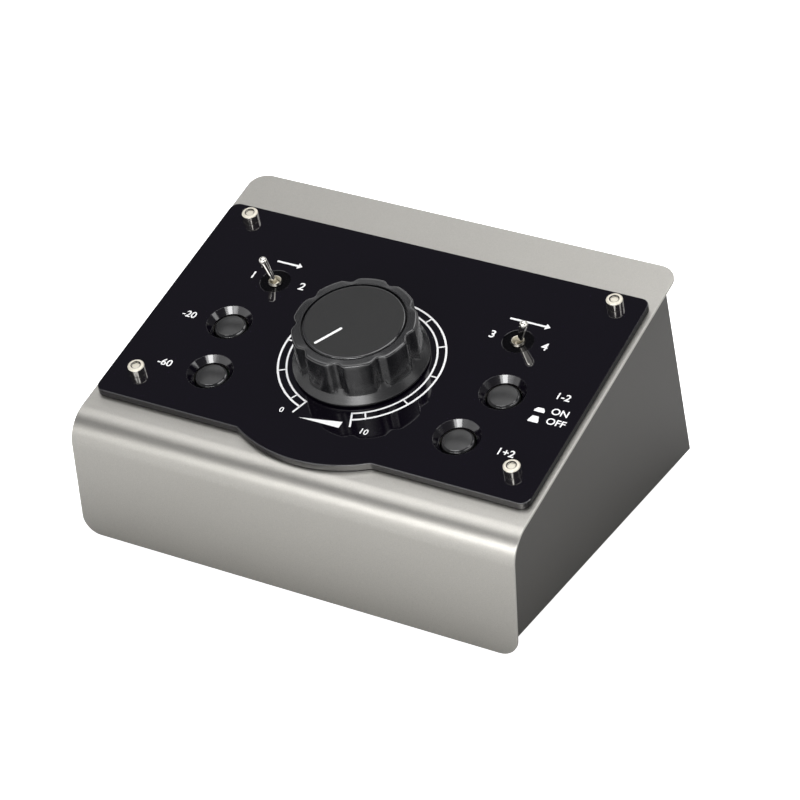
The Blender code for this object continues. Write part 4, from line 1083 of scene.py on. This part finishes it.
def button_mesh(name):
    low, high = extent(f"button_{name}", DECK)
    radius = radius_of(f"button_{name}")
    rim = high.z + BUTTON_LIFT - BUTTON_DOME

    def dome(x):
        return BUTTON_DOME * (1 - (x / radius) ** 2)

    corners = [(0.0, low.z, 0), (radius, low.z, BUTTON_FOOT_EDGE), (radius, rim, BUTTON_EDGE),
               (0.0, rim, 0)]
    profile = []
    for x, y in rounded(corners, 6)[:-1]:
        profile.append((x, y + (dome(x) if y > rim - 0.01 * MM else 0.0)))
    edge = profile[-1][0]
    for row in range(1, DOME_ROWS + 1):
        x = edge * (1 - row / DOME_ROWS)
        profile.append((x, rim + dome(x)))
    mesh = turned(profile, 128)
    mesh.transform(Matrix.Translation((*spot(f"button_{name}"), 0)))
    return mesh


for name in BUTTONS:
    cap = piece(f"button_cap_{name}", button_mesh(name), button_plastic, f"{name}_button", DECK,
                (f"button_{name}",))
    face_finish(cap, polished_edge, lambda at, normal: 0.2 < normal.z < 0.93)
    print("button", name, "at, mm:", [round(place / MM, 1) for place in spot(f"button_{name}")])

# %% [markdown]
# ## Toggles
# A chromed bat swings on a ball in a threaded bushing. The bat swells towards its round tip. Its
# mesh is turned upright about the pivot and then leant over about the joint's axis, as the solid
# is. The bushing's outside is painted dark, a painted shade, and its rim and bore are painted
# pale cream, a painted highlight over the plating's warm tint; the ball is painted as pale. A
# flush black washer fills the panel's hole round it.

# %% Bats and bushings
LEVER_LEAN = math.radians(16.8)
LEVER_REACH = 15.0 * MM
LEVER_TIP = 1.8 * MM
LEVER_NECK = 1.2 * MM
BALL_STEPS = 14
SWELL_STEPS = 8
TIP_STEPS = 10
SHOULDER = 4.2 * MM     # the bat begins to swell this far from the pivot
SWELL = 1.3
BALL = 1.9 * MM
BUSH = 3.0 * MM
BUSH_BORE = 2.4 * MM
BUSH_POINTS = 64
THREAD_PITCH = 0.6 * MM
THREAD_TIP = 0.05 * MM      # both below the bushing's radius
THREAD_ROOT = 0.3 * MM
BUSH_EDGE = 0.15 * MM
RIM_CHAMFER = 0.25 * MM
RIM_BREAK = 0.4 * MM
PALE_HIGHLIGHT_DEPTH = 9 * MM     # how far down the bore looks pale
FLANGE_RADIUS = 4.0 * MM
FLANGE_HEIGHT = 0.8 * MM
WASHER_LOW = -0.2 * MM
WASHER_DROP = 0.35 * MM     # below the panel's face
WASHER_INNER_GAP = 0.02 * MM
WASHER_OUTER_GAP = 0.05 * MM


def lever_profile():
    points = []
    for step in range(1, BALL_STEPS - 2):
        turn = math.pi * step / BALL_STEPS
        points.append((BALL * math.sin(turn), -BALL * math.cos(turn)))
    points += [(LEVER_NECK, BALL * 1.02), (LEVER_NECK, SHOULDER)]
    tip = LEVER_REACH - LEVER_TIP
    for share in [step / SWELL_STEPS for step in range(1, SWELL_STEPS + 1)]:
        radius = LEVER_NECK + (LEVER_TIP - LEVER_NECK) * share ** SWELL
        points.append((radius, SHOULDER + (tip - SHOULDER) * share))
    for step in range(1, TIP_STEPS + 1):
        turn = math.pi / 2 * step / TIP_STEPS
        points.append((LEVER_TIP * math.cos(turn), tip + LEVER_TIP * math.sin(turn)))
    return points


def bushing_profile(low, high):
    wall = [(BUSH_BORE, low), (BUSH, low)]
    level = low + THREAD_PITCH
    while level < high - THREAD_PITCH:
        wall += [(BUSH - THREAD_TIP, level - THREAD_PITCH * 0.1),
                 (BUSH - THREAD_ROOT, level + THREAD_PITCH * 0.4),
                 (BUSH - THREAD_TIP, level + THREAD_PITCH * 0.9)]
        level += THREAD_PITCH
    wall += [(BUSH - RIM_CHAMFER, high - RIM_CHAMFER), (BUSH - RIM_BREAK, high),
             (BUSH_BORE + BUSH_EDGE, high), (BUSH_BORE, high - BUSH_EDGE)]
    return wall


def tube_between(inner, outer, low, high, count=BUSH_POINTS):
    return turned([(inner, low), (outer, low), (outer, high), (inner, high)], count, tube=True)


def pale_part(at, normal):
    """Rim and bore of the bushing that is being made, painted pale as a highlight."""
    rim = normal.z > 0.6 and at.z > high.z - 0.3 * MM
    bore = (at.xy - pivot.xy).length < BUSH_BORE + 0.1 * MM
    return rim or (bore and at.z > high.z - PALE_HIGHLIGHT_DEPTH)


for name in TOGGLES:
    pivot = DECK.inverted() @ Vector(joints[f"{name}_select"]["pos_m"])
    upright = Matrix.Translation((pivot.x, pivot.y, 0))
    lean = LEVER_LEAN * (1 if pivot.x > 0 else -1)
    lever_place = DECK @ Matrix.Translation(pivot) @ Matrix.Rotation(lean, 4, "Y")
    bat = piece(f"toggle_bat_{name}", turned(lever_profile(), 64), bright_plating,
                f"{name}_lever", lever_place, (f"toggle_lever_{name}",))
    # the ball is painted pale: a painted highlight
    face_finish(bat, tint_and_sheen_plating, lambda at, normal: at.z < pivot.z + BALL)
    low, high = extent(f"toggle_bushing_{name}", DECK)
    flange_top = low.z + FLANGE_HEIGHT
    sleeve_mesh = merged([turned(bushing_profile(flange_top, high.z), BUSH_POINTS, tube=True),
                          tube_between(BUSH_BORE, FLANGE_RADIUS, low.z, flange_top)])
    sleeve_mesh.transform(upright)
    # the sleeve's outside is painted dark: a painted shade
    sleeve = piece(f"toggle_sleeve_{name}", sleeve_mesh, shade_plating, "housing", DECK,
                   (f"toggle_bushing_{name}",))
    # the rim and bore are painted pale: a painted highlight
    face_finish(sleeve, tint_and_sheen_plating, pale_part)
    # a near-black washer that keeps the hole round the bushing dark
    washer = tube_between(BUSH + WASHER_INNER_GAP, TOGGLE_HOLE - WASHER_OUTER_GAP,
                          WASHER_LOW, FACE - WASHER_DROP, ROUND)
    washer.transform(upright)
    piece(f"toggle_washer_{name}", washer, black_washer, "housing", DECK)
    print("toggle", name, "pivot, mm:", [round(place / MM, 1) for place in pivot])

# %% [markdown]
# ## Cap screws
# Four socket-head screws clamp the panel. The head is turned with its shank, and the hexagon
# socket and its countersunk mouth are cut out of it. The top and the socket's floor are painted
# pale cream, a painted highlight over the plating's warm tint, and the mouth and the hexagon's
# walls are painted dark, a painted shade that draws a thin dark line between them.

# %% Screws
HEAD_RADIUS = 3.5 * MM
HEAD_EDGE = 0.8 * MM
SHANK_RADIUS = 1.95 * MM
HEX_RADIUS = 1.75 * MM
HEX_DEPTH = 0.65 * MM
HEX_MOUTH = 2.15 * MM
MOUTH_DEPTH = 0.3 * MM
SCREW_TURN = math.radians(17.0)     # each screw stops a little further round
HEAD_LIFT = 0.02 * MM


def screw_mesh():
    low, high = extent("panel_screw_1", DECK)
    head_low = FACE + HEAD_LIFT
    corners = [(0.0, low.z, 0), (SHANK_RADIUS, low.z, 0.2 * MM), (SHANK_RADIUS, head_low, 0),
               (HEAD_RADIUS, head_low, 0.15 * MM), (HEAD_RADIUS, high.z, HEAD_EDGE),
               (0.0, high.z, 0)]
    body = turned(rounded(corners, 5))
    socket = plate(circle(HEX_RADIUS, 6), high.z - HEX_DEPTH, high.z + MM)
    mouth = turned([(HEX_RADIUS * 0.97, high.z - MOUTH_DEPTH),
                    (HEX_MOUTH + 0.3 * MM, high.z + 0.2 * MM)])
    return cut(body, [socket, mouth])


def in_head(at):
    """Whether a point is above the socket's floor in the screw that is being made."""
    return at.z > top - HEX_DEPTH - 0.1 * MM


def in_socket(at, normal):
    near = (at.xy - Vector(centre)).length < HEX_MOUTH
    return abs(normal.z) < 0.95 and near and in_head(at)


screw = screw_mesh()
for number in SCREWS:
    centre = spot(f"panel_screw_{number}")
    top = extent(f"panel_screw_{number}", DECK)[1].z
    spin = Matrix.Rotation(SCREW_TURN * number, 4, "Z")
    place = DECK @ Matrix.Translation((*centre, 0)) @ spin
    head = piece(f"cap_screw_{number}", screw.copy(), bright_plating, "housing", place,
                 (f"panel_screw_{number}",))
    # painted highlight: the top and the socket's floor are painted pale cream
    face_finish(head, tint_and_sheen_plating, lambda at, normal: normal.z > 0.3 and in_head(at))
    # painted shade: the socket's walls and mouth are painted dark
    face_finish(head, shade_plating, in_socket)
print("screw faces:", len(screw.polygons))

# %% [markdown]
# ## The folded tray and the rear wall
# The dark tray is bent from sheet like the cover. Its form is right as packed, so a copy is taken
# and every edge is broken by a small radius. On the rear wall each jack is held by a turned
# hexagon nut: the nut is what a hexagon bar and a cone have in common, which draws the curved
# chamfers. Plain numbers are printed over the jacks.

# %% Tray, jack nuts and their numbers
TRAY_EDGE = 0.45 * MM
NUT_CHAMFER = 0.55 * MM
NUT_HOLE_BREAK = 0.3 * MM
NUT_BORE = 4.75 * MM
CHAMFER_SLOPE = 0.58    # tangent of 30 degrees
NUT_TURN = math.radians(9.0)    # each nut stops a little further round
NUMBER_HEIGHT = 3.4 * MM
REAR_WALL = extent("base_tray", REAR)[1].z
JACK_NUMBER_RISE = 10.5 * MM


def nut_mesh(height, flats):
    corner = flats / math.sqrt(3)
    bar_stock = plate(circle(corner, 6, start=math.pi / 6), 0.0, height)
    broken = NUT_BORE + NUT_HOLE_BREAK
    drum = turned(rounded([
        (broken, 0.0, 0), (corner, 0.0, 0), (corner, height - NUT_CHAMFER * CHAMFER_SLOPE, 0),
        (corner - NUT_CHAMFER, height, 0), (broken, height, 0),
        (NUT_BORE, height - NUT_HOLE_BREAK, 0), (NUT_BORE, NUT_HOLE_BREAK, 0),
    ], closed=True), tube=True)
    return cut(drum, [bar_stock], "INTERSECT")


tray = piece("folded_tray", softened(nodes["base_tray"].data.copy(), TRAY_EDGE), tray_paint,
             "housing", stands_for=("base_tray",))
rear_marks = []
for number in range(1, 9):
    low, high = extent(f"jack_nut_{number}", REAR)
    x, y = ((low + high) / 2).xy
    nut = nut_mesh(high.z - low.z, min(high.x - low.x, high.y - low.y))
    spin = Matrix.Rotation(NUT_TURN * number, 4, "Z")
    place = REAR @ Matrix.Translation((x, y, low.z)) @ spin
    piece(f"hex_nut_{number}", nut, plain_plating, "housing", place, (f"jack_nut_{number}",))
    digit = printed(str(number), NUMBER_HEIGHT, (x, y + JACK_NUMBER_RISE))
    digit.transform(REAR @ Matrix.Translation((0, 0, REAR_WALL - FACE)))
    rear_marks.append(digit)
piece("rear_numbers", merged(rear_marks), white_ink, "housing", weighted=False)
print("tray faces:", len(tray.data.polygons), "rear numbers:", len(rear_marks))

# %% [markdown]
# ## Solids that keep their shape
# The boards, the feet and what sits inside already have the right form, so they only get a finish.

# %% Finishes for the remaining solids
finish_of = {
    "potentiometer": plain_plating, "board_screw": plain_plating, "control_board": board_resist,
    "jack_board": board_resist, "jack_body": jack_plastic, "ribbon_plug": plug_plastic,
    "ribbon_cable": ribbon_vinyl, "switch_body": switch_plastic, "toggle_body": switch_plastic,
    "switch_plunger": plunger_plastic, "foot": foot_rubber,
}
finished = 0
for name, node in nodes.items():
    for start, finish in finish_of.items():
        if name.startswith(start):
            node.data.materials.clear()
            node.data.materials.append(finish)
            finished += 1
print("solids with a new finish:", finished)

# %% [markdown]
# ## The studio
# A plain pale floor with a painted contact shadow, darker beside the part, a soft grey surround
# and nine soft lights. Four low ones in front draw the lines along the bend, on the knob's side
# and in the dishes. Four high ones light what faces up, and one stands by the right side. The
# surround is darker overhead, and the high lights stay clear of the part of the room that the
# glossy panel mirrors, because it is nearly black in the picture.

# %% Floor, surround and lights
FLOOR_SIZE = 12.0
# The floor's colour is darker within this box round the part: a painted contact shadow.
CONTACT_X = 0.10    # half of the part's width, and of its depth
CONTACT_Y = 0.09
SHADOW_FADE = 0.05
PAINTED_SHADOW_FLOOR = 0.50
FLOOR_FAR = 0.82
SURROUND = [    # height of the ray, colour
    (0.25, (0.70, 0.70, 0.70, 1.0)),
    (0.33, (0.10, 0.10, 0.10, 1.0)),
    (0.75, (0.045, 0.045, 0.050, 1.0)),
]
SURROUND_STRENGTH = 2.0
WATTS = 4   # per square metre, for each unit of brightness
LIGHTS = [  # name, place, aim, size, brightness, roll in degrees
    ("front_key", (0.17, -0.77, 0.32), (0.17, 0, 0.20), (0.30, 0.15), 11, 8),
    ("front_side", (0.405, -0.77, 0.35), (0.405, 0, 0.22), (0.13, 0.15), 4.5, 8),
    ("front_left", (-0.18, -0.77, 0.32), (-0.18, 0, 0.20), (0.32, 0.15), 4.5, 0),
    ("overhead", (0.30, -0.12, 1.20), (0.30, -0.12, 0), (0.9, 0.7), 2.6, 0),
    ("ceiling", (-0.50, -0.19, 1.20), (-0.50, -0.19, 0), (0.66, 0.86), 1.6, 0),
    ("rear_top", (0.22, 0.74, 1.20), (0.22, 0.64, 0), (0.9, 0.5), 2.05, 0),
    ("rear_left", (-0.70, 0.86, 1.20), (-0.70, 0.86, 0), (0.9, 0.5), 1.3, 0),
    ("front_top", (0.34, -0.77, 0.475), (0.34, 0, 0.18), (0.32, 0.05), 6, 0),
    ("right_near", (0.40, 0.0, 0.33), (0.06, 0, 0.08), (0.16, 0.12), 2.6, 0),
]


def floor_finish():
    """Pale paper, white where the camera looks at it, with a painted contact shadow beside the
    part.
    """
    finish = new_finish("floor_paper", (0.45, 0.45, 0.45), 0.9, grain=400.0, bump=0.02,
                        mottle=(3.0, 0.01), specular=0.1)
    tree = finish.node_tree
    shader = tree.nodes["Principled BSDF"]
    shader.inputs["Emission Color"].default_value = (1.0, 1.0, 1.0, 1.0)
    seen = add(tree, "ShaderNodeLightPath").outputs["Is Camera Ray"]
    tree.links.new(seen, shader.inputs["Emission Strength"])
    calc = math_in(tree)
    place = add(tree, "ShaderNodeTexCoord").outputs["Object"]
    flat = add(tree, "ShaderNodeSeparateXYZ", {0: place})
    across = calc("SUBTRACT", calc("ABSOLUTE", flat.outputs[0]), CONTACT_X)
    along = calc("SUBTRACT", calc("ABSOLUTE", flat.outputs[1]), CONTACT_Y)
    # painted contact shadow: the floor's colour darkens towards the part
    near = add(tree, "ShaderNodeMapRange", {
        "Value": calc("MAXIMUM", across, along), "From Max": SHADOW_FADE,
        "To Min": PAINTED_SHADOW_FLOOR, "To Max": FLOOR_FAR})
    tree.links.new(near.outputs[0], shader.inputs["Base Color"])
    return finish


def surround():
    world = bpy.data.worlds.new("studio")
    world.use_nodes = True
    tree = world.node_tree
    sky = tree.nodes["Background"]
    ray = add(tree, "ShaderNodeTexCoord").outputs["Generated"]
    height = add(tree, "ShaderNodeSeparateXYZ", {0: ray}).outputs[2]
    ramp = add(tree, "ShaderNodeValToRGB", {0: height})
    stops = ramp.color_ramp.elements
    stops.new(SURROUND[1][0])
    for stop, (position, colour) in zip(stops, SURROUND):
        stop.position = position
        stop.color = colour
    tree.links.new(ramp.outputs[0], sky.inputs[0])
    sky.inputs["Strength"].default_value = SURROUND_STRENGTH
    return world


def soft_light(name, place, aim, size, brightness, roll):
    """Rectangular light that looks from a place at a point, equally bright all over."""
    data = bpy.data.lights.new(name, "AREA")
    data.shape = "RECTANGLE"
    data.size, data.size_y = size
    data.energy = WATTS * brightness * size[0] * size[1]
    light = bpy.data.objects.new(name, data)
    look = (Vector(aim) - Vector(place)).to_track_quat("-Z", "Y").to_matrix()
    light.rotation_euler = (look @ Matrix.Rotation(math.radians(roll), 3, "Z")).to_euler()
    light.location = place
    light.visible_camera = False
    bpy.context.scene.collection.objects.link(light)


bm = bmesh.new()
bmesh.ops.create_grid(bm, x_segments=1, y_segments=1, size=FLOOR_SIZE)
floor = loose(as_mesh(bm), "floor")
floor.data.materials.append(floor_finish())
bpy.context.scene.world = surround()
for light in LIGHTS:
    soft_light(*light)
bpy.context.scene.view_settings.view_transform = "Standard"
print("lights:", len(LIGHTS))
